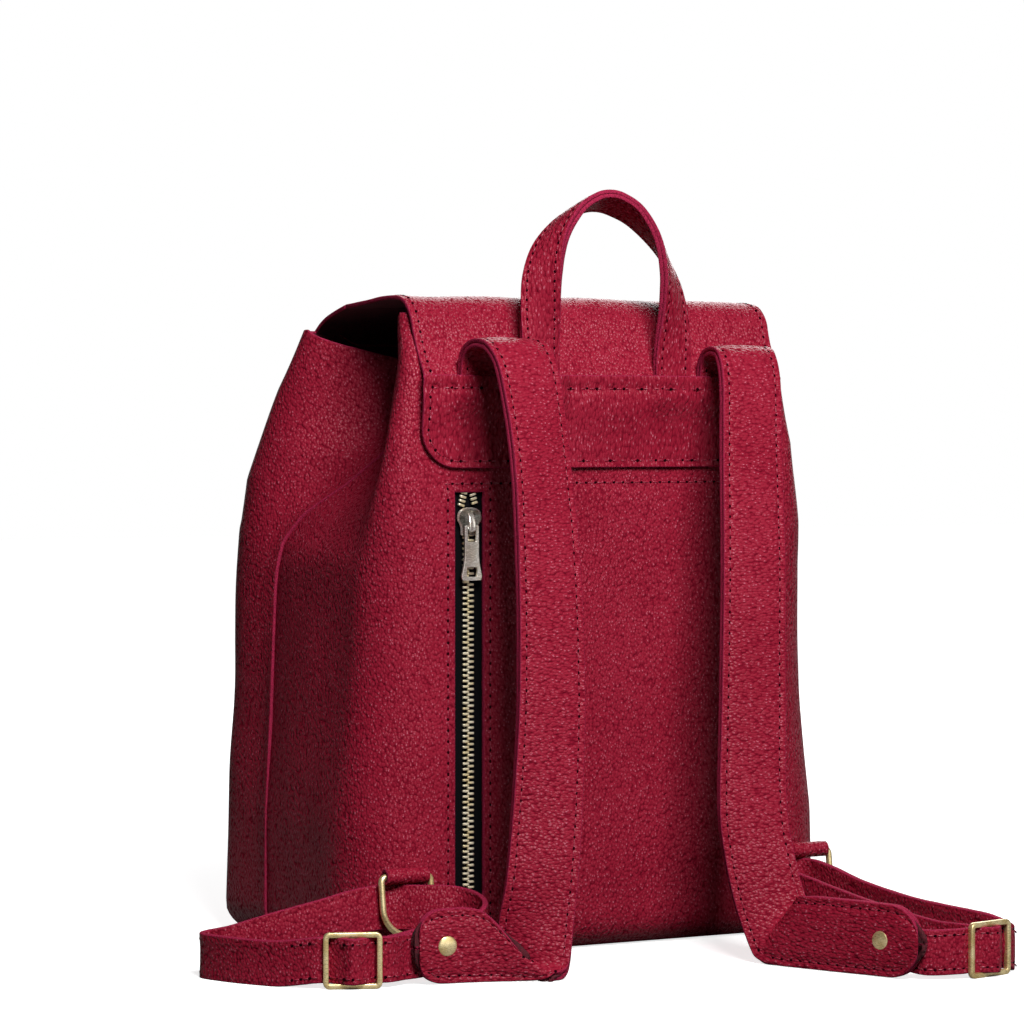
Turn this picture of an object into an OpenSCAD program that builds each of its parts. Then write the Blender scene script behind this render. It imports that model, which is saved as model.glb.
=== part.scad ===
// Small leather backpack: a gusseted body with a fold-over flap, a stitched yoke that
// carries the handle and two shoulder straps, a zipped back pocket and adjustable
// lower straps on buckles and D-rings. Millimetres, +Z up, the flap closes on the -Y
// side and the wearer's back is on the +Y side. The origin is the middle of the base.

/* [Body] */
// Half width of the body at the base
body_half_w = 129; // [124:0.5:136]
// Depth of the body at the base, from back panel to front panel
body_depth = 150; // [144:1:165]
// Height of the front panel's top edge
front_top = 286; // [278:1:288]
// Thickness of one layer of body leather
leather = 2; // [1.6:0.1:2.4]
// Radius of the rounded edge round the base
base_edge = 16; // [10:1:20]
// Depth of the fold in each side at the top
fold_depth = 44; // [30:1:50]
// How far the front panel's edge stands proud of the back panel's at the side seam
seam_step = 1.2; // [0.6:0.1:1.6]

/* [Flap] */
// Half width of the flap
flap_half_w = 97; // [90:1:100]
// Height of the flap's lower edge on the front
flap_end = 140; // [120:5:170]
// Radius of the flap's lower corners
flap_corner = 34; // [15:1:50]

/* [Yoke] */
// Half width of the yoke
yoke_half_w = 97; // [92:1:100]
// Height of the yoke's lower edge
yoke_low = 227; // [222:1:235]
// Height of the yoke's upper edge
yoke_top = 269; // [265:1:270]
// Radius of the yoke's lower corners
yoke_corner = 18; // [8:1:20]

/* [Zip] */
// Distance of the zip from the bag's middle
zip_x = 73; // [66:1:74]
// Lower end of the zip window
zip_low = 29; // [26:1:60]
// Upper end of the zip window
zip_high = 216; // [180:1:216]
// Width of the zip window
zip_window = 15.6; // [13:0.2:16]
// Pitch of the teeth on one side
tooth_pitch = 2.54; // [2.4:0.02:3.2]
// Width of the closed row of teeth
chain_w = 5.8; // [5:0.1:6.4]
// Height of one tooth along the zip
tooth_h = 1.2; // [0.9:0.05:1.2]
// Length of the slider body
slider_l = 12.8; // [11:0.2:13.4]
// Width of the slider body
slider_w = 12; // [10:0.2:12.4]
// Length of the puller
puller_l = 24; // [18:1:28]
// Width of the puller at its free end
puller_w = 10.4; // [8:0.2:11]

/* [Handle] */
// Distance of each handle root from the middle
handle_x = 35.5; // [30:0.5:40]
// Height of the middle of the handle's arch
handle_top = 349; // [335:1:360]
// Width of the handle band
handle_w = 18; // [15:0.5:20]
// Thickness of the two-layer handle band
handle_t = 4; // [3:0.2:4.4]

/* [Shoulder straps] */
// Width of the shoulder straps
strap_w = 32; // [28:0.5:34]
// Thickness of the two-layer shoulder straps
strap_t = 4.4; // [3.6:0.2:4.6]

/* [Lower straps] */
// Width of the lower straps
lower_w = 19.4; // [18:0.2:19.6]
// Thickness of the lower straps
lower_t = 2.6; // [2:0.1:2.8]
// Outer width of the buckles, along the strap
buckle_l = 26; // [24:0.5:28]
// Outer height of the buckles, across the strap
buckle_h = 25; // [25:0.5:27]
// Thickness of the buckle's metal
buckle_t = 2.6; // [2:0.1:2.8]
// Width of the buckle's frame bars
buckle_bar = 2.5; // [2:0.1:2.5]
// Diameter of the rivet caps
rivet_d = 9; // [7:0.5:10]

/* [D-rings] */
// Distance of the D-rings from the bag's middle
ring_x = 108.5; // [104:0.5:110]
// Height of the D-rings' straight bars
ring_z = 41.3; // [40:0.1:43]
// Width of the D-rings between the middles of the wire
ring_w = 25; // [24:0.5:28]
// Height of the D-rings between the middles of the wire
ring_h = 27; // [26.8:0.2:29]
// Diameter of the D-rings' wire
wire_d = 3; // [2.4:0.1:3.2]
// Lean of the D-rings from the vertical, in degrees
ring_lean = 8; // [6:1:10]
// Outer radius of the leather roll that holds a D-ring
roll_r = 3.7; // [3.2:0.1:4]

/* [Snap] */
// Height of the magnetic snap on the front
snap_z = 168; // [160:1:175]
// Diameter of the magnetic snap
snap_d = 18; // [14:1:18]

/* [Hidden] */

gap = 0.3;
back_y = body_depth / 2;
leather_red = [0.55, 0.06, 0.14];
lining_red = [0.42, 0.05, 0.11];
brass = [0.72, 0.6, 0.35];
pale_gold = [0.85, 0.8, 0.68];
black_cloth = [0.03, 0.03, 0.035];

// ---- general helpers -----------------------------------------------------------
function mix(a, b, t) = a + (b - a) * t;
function ease(t) = (1 - cos(180 * t)) / 2;
function mirror_x(points) = [for (p = points) [-p.x, p.y, p.z]];
function unit(v) = v / norm(v);
// A point at distance d behind the plane of the back panel.
function behind(x, d, z) = [x, back_y + d, z];

// Catmull-Rom curve through hand-set stations, each a list of vectors.
function cubic(a, b, c, d, t) =
    b + 0.5 * t * (c - a + t * (2 * a - 5 * b + 4 * c - d + t * (3 * (b - c) + d - a)));
function smooth_route(st, steps) =
    let (n = len(st) - 1)
    [for (i = [0:n - 1], k = [0:steps - 1])
        let (a = st[max(i - 1, 0)], b = st[i], c = st[i + 1], d = st[min(i + 2, n)])
        [for (m = [0:len(b) - 1]) cubic(a[m], b[m], c[m], d[m], k / steps)],
     st[n]];

// Closed sheet between two grids of points, the outer face and the inner face.
module sheet(outer, inner) {
    rows = len(outer);
    cols = len(outer[0]);
    points = [for (g = [outer, inner], row = g) each row];
    lift = cross(outer[1][0] - outer[0][0], outer[0][1] - outer[0][0]);
    flip = lift * (outer[0][0] - inner[0][0]) < 0;
    function at(side, i, j) = side * rows * cols + i * cols + j;
    function tri2(a, b, c, d) = [[a, b, c], [a, c, d]];
    top = [for (i = [0:rows - 2], j = [0:cols - 2])
        each tri2(at(0, i, j), at(0, i, j + 1), at(0, i + 1, j + 1), at(0, i + 1, j))];
    low = [for (i = [0:rows - 2], j = [0:cols - 2])
        each tri2(at(1, i, j), at(1, i + 1, j), at(1, i + 1, j + 1), at(1, i, j + 1))];
    ends = [for (j = [0:cols - 2]) each concat(
        tri2(at(0, 0, j + 1), at(0, 0, j), at(1, 0, j), at(1, 0, j + 1)),
        tri2(at(0, rows - 1, j), at(0, rows - 1, j + 1),
            at(1, rows - 1, j + 1), at(1, rows - 1, j)))];
    sides = [for (i = [0:rows - 2]) each concat(
        tri2(at(0, i, 0), at(0, i + 1, 0), at(1, i + 1, 0), at(1, i, 0)),
        tri2(at(0, i + 1, cols - 1), at(0, i, cols - 1),
            at(1, i, cols - 1), at(1, i + 1, cols - 1)))];
    faces = concat(top, low, ends, sides);
    turned = [for (f = faces) [f[2], f[1], f[0]]];
    polyhedron(points, flip ? turned : faces);
}

// Ribbon along stations [centre, half-width vector], between two offsets along its
// normal, measured from the middle of its thickness.
function ribbon_normal(st, i) =
    let (a = st[max(i - 1, 0)][0], b = st[min(i + 1, len(st) - 1)][0])
    unit(cross(b - a, st[i][1]));
function ribbon_side(st, off, across) =
    [for (i = [0:len(st) - 1])
        let (n = ribbon_normal(st, i))
        [for (j = [0:across]) st[i][0] + st[i][1] * (1 - 2 * j / across) + n * off]];
module ribbon(st, low, high, across = 1) {
    sheet(ribbon_side(st, high, across), ribbon_side(st, low, across));
}

// ---- body ------------------------------------------------------------------------
// Each table gives a size against height, from the base up.
back_half = [[0, 0], [60, -1], [110, -6], [180, -10], [235, -18], [260, -24], [292, -32]];
front_half = [[0, 3], [115, 2], [196, -1], [220, -4], [260, -15], [292, -24]];
depth_loss = [[0, 0], [196, 0], [220, 4], [260, 19], [292, 37]];
back_lean = [[0, 0], [264, 0], [270, 2], [275, 4.8], [280, 8.5], [286, 11.5], [292, 13]];
back_radius = [[0, 32], [120, 32], [180, 26], [200, 18], [235, 9], [292, 6]];
front_radius = [[0, 12], [115, 20], [200, 24], [292, 12]];
fold_share = [[0, 0], [178, 0], [190, 0.03], [205, 0.17], [220, 0.47], [235, 0.68], [250, 0.9],
    [292, 1]];
fold_pinch = [[0, 0], [185, 0], [205, 5], [220, 8], [235, 6], [250, 2], [262, 0], [292, 0]];
seam_depth = [[0, 99], [170, 100], [192, 98], [205, 90], [220, 76], [235, 66], [292, 61]];
fold_start = 198;
fold_dip = 0.16;
body_levels = [16, 45, 80, 115, 150, 178, 192, 204, 216, 228, 240, 252, 264, 272, 279];
corner_step = 15;

function half_w_at(z) = body_half_w + lookup(z, back_half);
function front_w_at(z) = body_half_w + lookup(z, front_half);
function front_y_at(z) = back_y - body_depth + lookup(z, depth_loss);
function back_y_at(z) = back_y - lookup(z, back_lean);

// Outline of the +X half at one height, from the middle of the back round the side
// seam to the middle of the front; point seam_index is on the seam.
seam_index = 14;
function half_outline(z, inset, cut) =
    let (wb = half_w_at(z) - inset, yb = back_y_at(z) - inset,
         rb = max(lookup(z, back_radius) - inset, 2),
         wf = front_w_at(z) - inset, yf = front_y_at(z) + inset,
         rf = max(lookup(z, front_radius) - inset, 2),
         ys = back_y - lookup(z, seam_depth) - cut,
         xs = (wb + wf) / 2 - fold_depth * lookup(z, fold_share),
         pinch = lookup(z, fold_pinch))
    concat(
        [for (i = [0:3]) [(wb - rb) * i / 4, yb]],
        [for (a = [0:corner_step:90]) [wb - rb + rb * sin(a), yb - rb + rb * cos(a)]],
        [for (i = [1:3])
            [mix(wb, xs, ease(i / 4)) - pinch * sin(45 * i), mix(yb - rb, ys, i / 4)]],
        [[xs, ys]],
        [for (i = [1:2]) [mix(xs, wf, ease(i / 3)), mix(ys, yf + rf, i / 3)]],
        [for (a = [90:-corner_step:0]) [wf - rf + rf * sin(a), yf + rf - rf * cos(a)]],
        [for (i = [1:4]) [(wf - rf) * (1 - i / 4), yf]]);

// The top edge of a side dips towards its fold.
function dipped(z, j) =
    let (near = max(0, 1 - abs(j - seam_index) / 4))
    z <= fold_start ? z : z - (z - fold_start) * fold_dip * near;
function half_level(z, inset, cut) =
    let (o = half_outline(z, inset, cut))
    [for (j = [0:len(o) - 1]) [o[j].x, o[j].y, dipped(z, j)]];
// Level on the rounded base edge: a runs from 0 at the floor to 90 at the wall.
function base_level(a, inset, cut) =
    let (r = base_edge - inset, o = half_outline(0, inset + r * (1 - sin(a)), cut))
    [for (p = o) [p.x, p.y, inset + r * (1 - cos(a))]];
function back_part(half) =
    concat([for (j = [seam_index:-1:0]) half[j]],
        mirror_x([for (j = [1:seam_index]) half[j]]));
function front_part(half) =
    let (last = len(half) - 1)
    concat([for (j = [seam_index:last]) half[j]],
        mirror_x([for (j = [last - 1:-1:seam_index]) half[j]]));
edge_angles = [0, 25, 50, 72];
function back_grid(inset) = concat(
    [for (a = edge_angles) back_part(base_level(a, inset, 0))],
    [for (z = concat(body_levels, [front_top])) back_part(half_level(z, inset, 0))]);
function front_grid(inset, base_inset) = concat(
    [for (a = edge_angles) front_part(base_level(a, base_inset, gap))],
    [for (z = concat(body_levels, [front_top])) front_part(half_level(z, inset, gap))]);

module front_panel() {
    color(leather_red)
        sheet(front_grid(-seam_step, 0), front_grid(leather - seam_step, leather));
}
module zip_window_cut() {
    translate([zip_x - zip_window / 2, back_y - 3 * leather, zip_low])
        cube([zip_window, 6 * leather, zip_high - zip_low]);
}
module back_panel() {
    color(leather_red) difference() {
        sheet(back_grid(0), back_grid(leather));
        zip_window_cut();
    }
}
module base_panel() {
    half = half_outline(0, base_edge + gap, 0);
    outline = concat(half, [for (i = [len(half) - 2:-1:1]) [-half[i].x, half[i].y]]);
    color(leather_red) linear_extrude(leather) polygon(outline);
}

// ---- zip and its pocket ------------------------------------------------------------
tape_t = 0.6;
tape_w = zip_window / 2 + 5;
tape_front = back_y - leather - gap;
tooth_t = 1.4;
teeth_front = tape_front + tooth_t;
slider_top = zip_high - 7.5;
slider_low = slider_top - slider_l;
plate_t = 1.2;
plate_front = teeth_front + gap + plate_t;
lining_t = 0.8;
pocket_w = 158;
pocket_low = 17;
pocket_high = 220;
tooth_reach = 0.4;

module pocket_lining() {
    color(black_cloth)
        translate([zip_x + tape_w - pocket_w, tape_front - tape_t - gap - lining_t, pocket_low])
        cube([pocket_w, lining_t, pocket_high - pocket_low]);
}
module zip_tape(side) {
    color(black_cloth) translate([zip_x + side * tape_w / 2, tape_front - tape_t / 2,
        (zip_low + zip_high) / 2])
        cube([tape_w - gap, tape_t, zip_high - zip_low + 8], center = true);
}
// Teeth lie closed below the slider and spread apart above it.
module zip_teeth(side) {
    row_low = zip_low + 3;
    count = floor((zip_high - tooth_h - row_low) / tooth_pitch);
    tooth_l = chain_w / 2 + tooth_reach;
    color(pale_gold) for (k = [0:count - 1]) {
        z = row_low + k * tooth_pitch + (side > 0 ? 0 : tooth_pitch / 2);
        spread = max(0, z - slider_top) * 0.35;
        translate([zip_x + side * (tooth_l / 2 - tooth_reach + spread),
            tape_front + tooth_t / 2, z])
            cube([tooth_l, tooth_t, tooth_h - 0.1], center = true);
    }
}
module zip_bottom_stop() {
    color(pale_gold) translate([zip_x, tape_front + tooth_t / 2, zip_low + 0.9])
        cube([chain_w, tooth_t, 1.8], center = true);
}
bridge_w = 3;
bridge_h = 3.4;
bridge_low = slider_low + 1.2;
bridge_l = 9.6;
bridge_bar = 1.2;
pin_r = 0.7;
pin_y = plate_front + 1.3;
pin_z = bridge_low + bridge_bar + pin_r + 0.15;
module bridge_eye() {
    translate([zip_x - bridge_w / 2 - 1, plate_front + 0.4, bridge_low + bridge_bar])
        cube([bridge_w + 2, bridge_h - bridge_bar - 0.4, bridge_l - 2 * bridge_bar]);
}
// One side of the slider's outline, from its top down past its wide shoulders; the
// other side runs back up.
function slider_edge(side) =
    let (edge = [[0.3, 0], [0.5, 0.16], [0.5, 0.36], [0.38, 0.5], [0.36, 1]],
         last = len(edge) - 1)
    [for (i = [0:last]) let (e = edge[side > 0 ? i : last - i])
        [side * e.x * slider_w, (e.y - 1) * slider_l]];
module zip_slider() {
    color(pale_gold) difference() {
        union() {
            translate([zip_x, plate_front - plate_t, slider_low]) rotate([-90, 0, 0])
                linear_extrude(plate_t) polygon([for (side = [1, -1], p = slider_edge(side)) p]);
            translate([zip_x - bridge_w / 2, plate_front - 0.2, bridge_low])
                cube([bridge_w, bridge_h + 0.2, bridge_l]);
        }
        bridge_eye();
    }
}
module zip_puller() {
    puller_t = 1.5;
    neck = 7.2;
    flare = 13;
    eye_w = 4.2;
    eye_low = 7.3;
    color(pale_gold) translate([zip_x, pin_y, pin_z]) {
        rotate([90, 0, 0]) translate([0, 0, -puller_t / 2]) linear_extrude(puller_t)
            difference() {
                polygon([[-neck / 2, 0], [neck / 2, 0], [neck / 2, -flare],
                    [puller_w / 2, -puller_l + 2], [puller_w / 2 - 1, -puller_l],
                    [1 - puller_w / 2, -puller_l], [-puller_w / 2, -puller_l + 2],
                    [-neck / 2, -flare]]);
                translate([-eye_w / 2, -eye_low]) square([eye_w, eye_low + 1]);
                translate([-2.7, -puller_l + 1.7]) square([5.4, 4.4]);
            }
        rotate([0, 90, 0]) cylinder(h = neck, r = pin_r, center = true, $fn = 32);
    }
}

// ---- yoke and flap -------------------------------------------------------------------
// The tail of the flap lies under the yoke's upper part, so the yoke steps out there.
tail_low = yoke_top - 11;
function yoke_lift(z) = gap + (leather + gap) * ease(min(1, max(0, (z - tail_low + 9) / 8)));
function corner_w(half, low, r, z) =
    z >= low + r ? half : half - r + sqrt(max(0, r * r - pow(low + r - z, 2)));
yoke_rows = concat([for (a = [0:15:90]) yoke_low + yoke_corner * (1 - cos(a))],
    [for (dz = [9, 7, 5, 3, 1]) tail_low - dz], [yoke_top]);
function yoke_face(lift) = [for (z = yoke_rows)
    let (w = corner_w(yoke_half_w, yoke_low, yoke_corner, z))
    [for (x = [w, -w]) [x, back_y + yoke_lift(z) + lift, z]]];
module yoke() {
    color(leather_red) sheet(yoke_face(leather), yoke_face(0));
}

// Profiles of the flap's outer face as [distance in front of the back plane, height];
// the front stretch is given by its distance behind the front panel's foot.
function short_of_front(d, z) = [body_depth - d, z];
pivot_back = [10.8, 291];
pivot_front = short_of_front(34.2, 291);
root_end = pivot_back.y - leather / 2 - gap;
flap_route = [pivot_back + [-0.9, 0.4], [12.6, 298], [18.4, 303.8], [27, 306.3],
    [40, 306.5], [57, 305.5], short_of_front(70, 304), short_of_front(51, 299.5),
    short_of_front(42, 296)];
flap_tip = pivot_front + [-1.6, 0.85];
front_line = body_depth + 8.4;
front_route = [pivot_front + [0.5, 0.9], short_of_front(27.5, 286),
    short_of_front(21.2, 277), short_of_front(13.2, 261), short_of_front(5.8, 246),
    short_of_front(-0.7, 230), short_of_front(-5, 214), short_of_front(-7.8, 196),
    [front_line, 185]];
// The flap's root lies on the leaning top of the back panel.
function lean_stretch(z) =
    let (slope = (lookup(z + 2, back_lean) - lookup(z - 2, back_lean)) / 4)
    sqrt(1 + slope * slope);
root_route = [for (z = [tail_low, 261, 264, 267, 270, 275, 280, 286, root_end])
    [lookup(z, back_lean) - (leather + gap + (z > yoke_top ? gap : 0)) * lean_stretch(z), z]];

// Sheet whose outer face follows a profile, with a half width for each station.
function profile_normal(route, i) =
    let (a = route[max(i - 1, 0)], b = route[min(i + 1, len(route) - 1)], t = unit(b - a))
    [-t.y, t.x];
module flap_sheet(route, widths) {
    function face(depth) = [for (i = [0:len(route) - 1])
        let (p = route[i] - profile_normal(route, i) * depth)
        [for (x = [1, -1]) [x * widths[i], back_y - p.x, p.y]]];
    sheet(face(0), face(leather));
}
module bend_roll(pivot) {
    translate([0, back_y - pivot.x, pivot.y]) rotate([0, 90, 0])
        cylinder(h = 2 * flap_half_w, r = leather / 2, center = true, $fn = 32);
}
module flap_root() {
    color(leather_red) flap_sheet(root_route, [for (p = root_route) flap_half_w]);
}
module flap() {
    route = concat(flap_route, [flap_tip - [leather / 2 + gap, -0.5]]);
    color(leather_red) {
        flap_sheet(route, [for (p = route) flap_half_w]);
        bend_roll(pivot_back);
    }
}
module flap_front() {
    lower = [for (a = [90:-15:0]) [front_line, flap_end + flap_corner * (1 - cos(a))]];
    route = concat(front_route, lower);
    color(leather_red) {
        flap_sheet(route, [for (p = route) corner_w(flap_half_w, flap_end, flap_corner, p.y)]);
        bend_roll(pivot_front);
    }
}
// Magnetic snap: the socket sits on the front panel, the stud inside the flap.
panel_front = front_y_at(snap_z) - seam_step;
flap_inside = back_y - front_line + leather;
snap_t = (panel_front - flap_inside - 3 * gap) / 2;
module snap_disc(y) {
    translate([0, y, snap_z]) rotate([90, 0, 0]) cylinder(h = snap_t, d = snap_d, $fn = 64);
}
module snap_socket() {
    color(brass) snap_disc(panel_front - gap);
}
module snap_stud() {
    color(brass) snap_disc(flap_inside + gap + snap_t);
}

// ---- handle ---------------------------------------------------------------------------
root_d = 3;
root_low = yoke_top + gap;
bend_z = 275.9;
module handle_roots() {
    color(leather_red) for (side = [-1, 1])
        translate([side * handle_x - handle_w / 2, back_y + root_d - handle_t / 2, root_low])
        cube([handle_w, handle_t, bend_z - handle_t / 2 - gap - root_low]);
}
// Stations of one leg: [centre, direction across the band], from the bend to the top.
handle_leg = [
    [behind(handle_x, root_d, bend_z), [1, 0, 0]],
    [behind(handle_x + 0.4, 3.2, 288), [0.99, -0.14, 0]],
    [behind(handle_x + 0.2, 4.2, 302), [0.9, -0.43, -0.04]],
    [behind(handle_x - 1.5, 5, 316), [0.72, -0.68, -0.12]],
    [behind(handle_x - 7, 5, 330), [0.46, -0.85, -0.24]],
    [behind(18, 4.2, 342), [0.2, -0.93, -0.3]],
    [behind(8, 3.6, handle_top - 1.5), [0.06, -0.94, -0.33]]];
handle_arch = [behind(0, 3.4, handle_top), [0, -0.94, -0.33]];
function turned_x(s) = [for (v = s) [-v.x, v.y, v.z]];
handle_stations = concat(handle_leg, [handle_arch],
    [for (i = [len(handle_leg) - 1:-1:0]) turned_x(handle_leg[i])]);
handle_route = smooth_route([for (s = handle_stations) [s[0], s[1] * handle_w / 2]], 2);
bend_r = handle_t / 2 - 0.05;
module handle_bend(behind_mid) {
    for (side = [-1, 1])
        translate([side * handle_x, back_y + root_d, bend_z]) intersection() {
            rotate([0, 90, 0]) cylinder(h = handle_w, r = bend_r, center = true, $fn = 32);
            translate([-handle_w, behind_mid ? 0 : -handle_t, -handle_t])
                cube([2 * handle_w, handle_t, handle_t + 0.2]);
        }
}
module handle_face() {
    color(leather_red) {
        ribbon(handle_route, 0, handle_t / 2);
        handle_bend(true);
    }
}
module handle_lining() {
    color(lining_red) {
        ribbon(handle_route, -handle_t / 2, 0);
        handle_bend(false);
    }
}

// ---- shoulder straps --------------------------------------------------------------------
// Stations are [centre, half-width direction]; edge pairs give twisted stretches.
function across(c, u) = [c, u * strap_w / 2];
function edges(a, b) = [(a + b) / 2, (a - b) / 2];
strap_root_d = root_d + (strap_t - handle_t) / 2 + 0.2;
left_strap = [
    across(behind(64, strap_root_d, root_low), [1, 0, 0]),
    across(behind(64, 4.6, 276), [1, 0, 0]),
    across(behind(64, 10, 281.6), [1, 0, 0]),
    across(behind(63.8, 20, 283.6), [1, 0, 0]),
    across(behind(63.5, 30, 280), [0.99, 0.06, 0]),
    across(behind(62.5, 37.5, 267), [0.99, 0.14, 0]),
    across(behind(61.6, 46.5, 230), [0.98, 0.19, 0]),
    across(behind(62.2, 55, 180), [0.995, 0.06, 0]),
    across(behind(63.6, 60, 124), [0.997, -0.05, 0]),
    across(behind(66.5, 62, 80), [0.98, -0.17, 0]),
    edges(behind(85.7, 59.5, 45), behind(55, 68.5, 45)),
    edges(behind(87.5, 56, 26), behind(57.6, 69.5, 26)),
    edges(behind(86.4, 55, 15), behind(59.6, 71.2, 14)),
    edges(behind(81, 57, 6.4), behind(62, 73, 6)),
    edges(behind(76, 64.6, 3.4), behind(66, 75.4, 3)),
    edges(behind(79, 70.8, 6.6), behind(71, 76, 2.4)),
    edges(behind(85, 69.6, 14), behind(77.4, 72.6, 1.2)),
    edges(behind(92, 66.6, 23), behind(85.4, 68, 0.8)),
    edges(behind(100, 62.8, 31), behind(94.4, 64, 0.6)),
    edges(behind(109, 60.2, 33), behind(106, 60.6, 0.6)),
    edges(behind(118.6, 59.4, 32.8), behind(118.4, 59.4, 0.8))];
right_strap = [
    across(behind(-64, strap_root_d, root_low), [1, 0, 0]),
    across(behind(-64, 4.6, 275), [1, 0, 0]),
    across(behind(-63.4, 9.6, 280), [1, 0, 0]),
    across(behind(-62, 18, 281.4), [1, 0.04, 0]),
    across(behind(-60, 26.5, 278), [0.99, 0.06, 0]),
    across(behind(-57.5, 34, 265), [0.99, 0.04, 0]),
    across(behind(-52.5, 43, 230), [0.99, 0, 0]),
    across(behind(-48, 52, 180), [0.99, -0.05, 0]),
    across(behind(-44, 58, 124), [0.98, -0.12, 0]),
    edges(behind(-24, 61.4, 72), behind(-56, 67, 72)),
    edges(behind(-26, 63.7, 47), behind(-57, 73, 47)),
    edges(behind(-29.5, 66, 28), behind(-59, 77.4, 32)),
    edges(behind(-33.4, 69.4, 13), behind(-59, 80.4, 29.4)),
    edges(behind(-36.6, 72.8, 4), behind(-55.4, 84, 29.2)),
    edges(behind(-38.4, 77, 1.2), behind(-50.6, 88.4, 30.6)),
    edges(behind(-41, 83.6, 0.7), behind(-49, 95, 32.2)),
    edges(behind(-46, 94, 0.6), behind(-51.6, 103.4, 32.8)),
    edges(behind(-52, 107, 0.6), behind(-55.6, 113, 32.8)),
    edges(behind(-59, 122, 0.6), behind(-60.2, 124, 32.8)),
    edges(behind(-65.8, 139, 0.8), behind(-66, 139, 32.6))];
// A strap end closes in a half round tip past its last station.
function rounded_tip(st) =
    let (n = len(st) - 1, c = st[n][0], u = st[n][1], t = unit(c - st[n - 1][0]))
    [for (a = [0:15:75]) [c + t * norm(u) * sin(a), u * cos(a)]];
module strap_layer(st, low, high) {
    ribbon(concat(smooth_route([for (i = [0:len(st) - 2]) st[i]], 2), rounded_tip(st)),
        low, high);
}
module shoulder_strap_left_face() {
    color(leather_red) strap_layer(left_strap, -strap_t / 2, 0);
}
module shoulder_strap_left_lining() {
    color(lining_red) strap_layer(left_strap, 0, strap_t / 2);
}
module shoulder_strap_right_face() {
    color(leather_red) strap_layer(right_strap, -strap_t / 2, 0);
}
module shoulder_strap_right_lining() {
    color(lining_red) strap_layer(right_strap, 0, strap_t / 2);
}

// ---- lower straps, buckles and rivets ----------------------------------------------------
// Each lower strap starts on the rivet behind the shoulder strap's tip, weaves through
// its buckle, doubles back to the D-ring and returns to loop round the buckle's middle bar.
buckle_z = buckle_h / 2;
left_buckle = behind(159.2, 54, buckle_z);
left_turn = -23;
right_buckle = behind(-107, 156.5, buckle_z);
right_turn = 11.5;
middle_bar_r = 0.9;
loop_wall = 1.6;
loop_r = middle_bar_r + 0.15 + loop_wall;
weave_low = -(buckle_t / 2 + gap + lower_t / 2);
weave_high = loop_r + gap + lower_t / 2;
frame_at = buckle_l / 2 - buckle_bar / 2;

// Upright station of a lower strap; lean tips its top edge towards the bag.
function upright(c, lean = 0) = [c, [0, -sin(lean), cos(lean)] * lower_w / 2];
// Stations through a buckle, going along its local X in the given direction.
function woven(centre, turn, way) =
    let (tx = [cos(turn), sin(turn), 0], n = [-sin(turn), cos(turn), 0])
    [for (s = [-1.4, -1, -0.8, -0.4, 0, 0.4, 0.8, 1, 1.35])
        let (off = mix(weave_high, weave_low, ease(min(1, abs(s) / 0.8))))
        upright(centre + tx * way * s * frame_at + n * off)];
strap_z = ring_z - roll_r - 2 * gap - lower_w / 2;
left_lower = concat(
    [upright(behind(108.5, 56.2, 14.6)), upright(behind(117.4, 55.4, 14)),
     upright(behind(128, 54.5, 12.8)), upright(behind(134, 54.2, buckle_z))],
    woven(left_buckle, left_turn, 1),
    [upright(behind(180, 37.6, 11)), upright(behind(187, 29, 10)),
     upright(behind(195.5, 15, 10)),
     upright(behind(202, 0, 10)), upright(behind(203.4, -8, 10)),
     upright(behind(199.6, -11.6, 10.6)), upright(behind(190, -8, 12.4)),
     upright(behind(172, -3, 17.4)), upright(behind(150, 0.6, 22.4)),
     upright(behind(134, 2, 26), 4), upright(behind(121.5, 1.9, strap_z), ring_lean),
     upright(behind(112.5, 3.9, strap_z), ring_lean),
     upright(behind(103.4, 10.4, strap_z), ring_lean),
     upright(behind(95.6, 14.2, strap_z), ring_lean),
     upright(behind(87.6, 17, 26.4), 4), upright(behind(83.6, 24, 25)),
     upright(behind(83.4, 33, 23)), upright(behind(87, 41, 20.6)),
     upright(behind(95, 46, 18)), upright(behind(108, 48, 15.6)),
     upright(behind(126, 48.4, 13.4)), upright(behind(142, 48.6, 11)),
     upright(behind(152.6, 50, buckle_z)), upright(behind(158.4, 52.1, buckle_z))]);
right_lower = concat(
    [upright(behind(-64.6, 125.6, 14.6)), upright(behind(-68, 133.6, 14.4)),
     upright(behind(-71.6, 142.6, 13.4)), upright(behind(-77, 151.4, 12.2))],
    woven(right_buckle, right_turn, -1),
    [upright(behind(-125.4, 148, 10.6)), upright(behind(-125.6, 143.6, 12)),
     upright(behind(-123, 132, 14.4)), upright(behind(-118.2, 106, 15.7)),
     upright(behind(-115.5, 80, 17)), upright(behind(-112.4, 48, 20.6)),
     upright(behind(-110, 30, 24.6)), upright(behind(-108.6, 18, 26.8), 4),
     upright(behind(-107.8, 11, strap_z), ring_lean),
     upright(behind(-105.4, 6.4, strap_z), ring_lean),
     upright(behind(-100.6, 3.9, strap_z), ring_lean),
     upright(behind(-94.5, 3.4, strap_z), ring_lean),
     upright(behind(-88.6, 5.4, strap_z), ring_lean),
     upright(behind(-85.2, 11, 26.8), 4), upright(behind(-84.4, 22, 26)),
     upright(behind(-85.6, 42, 23.4)), upright(behind(-88.6, 72, 19)),
     upright(behind(-92.4, 100, 15.5)), upright(behind(-96.8, 128, 12.6)),
     upright(behind(-99.6, 141, buckle_z)), upright(behind(-103.4, 150.6, buckle_z)),
     upright(behind(-106.2, 154.5, buckle_z))]);

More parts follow.
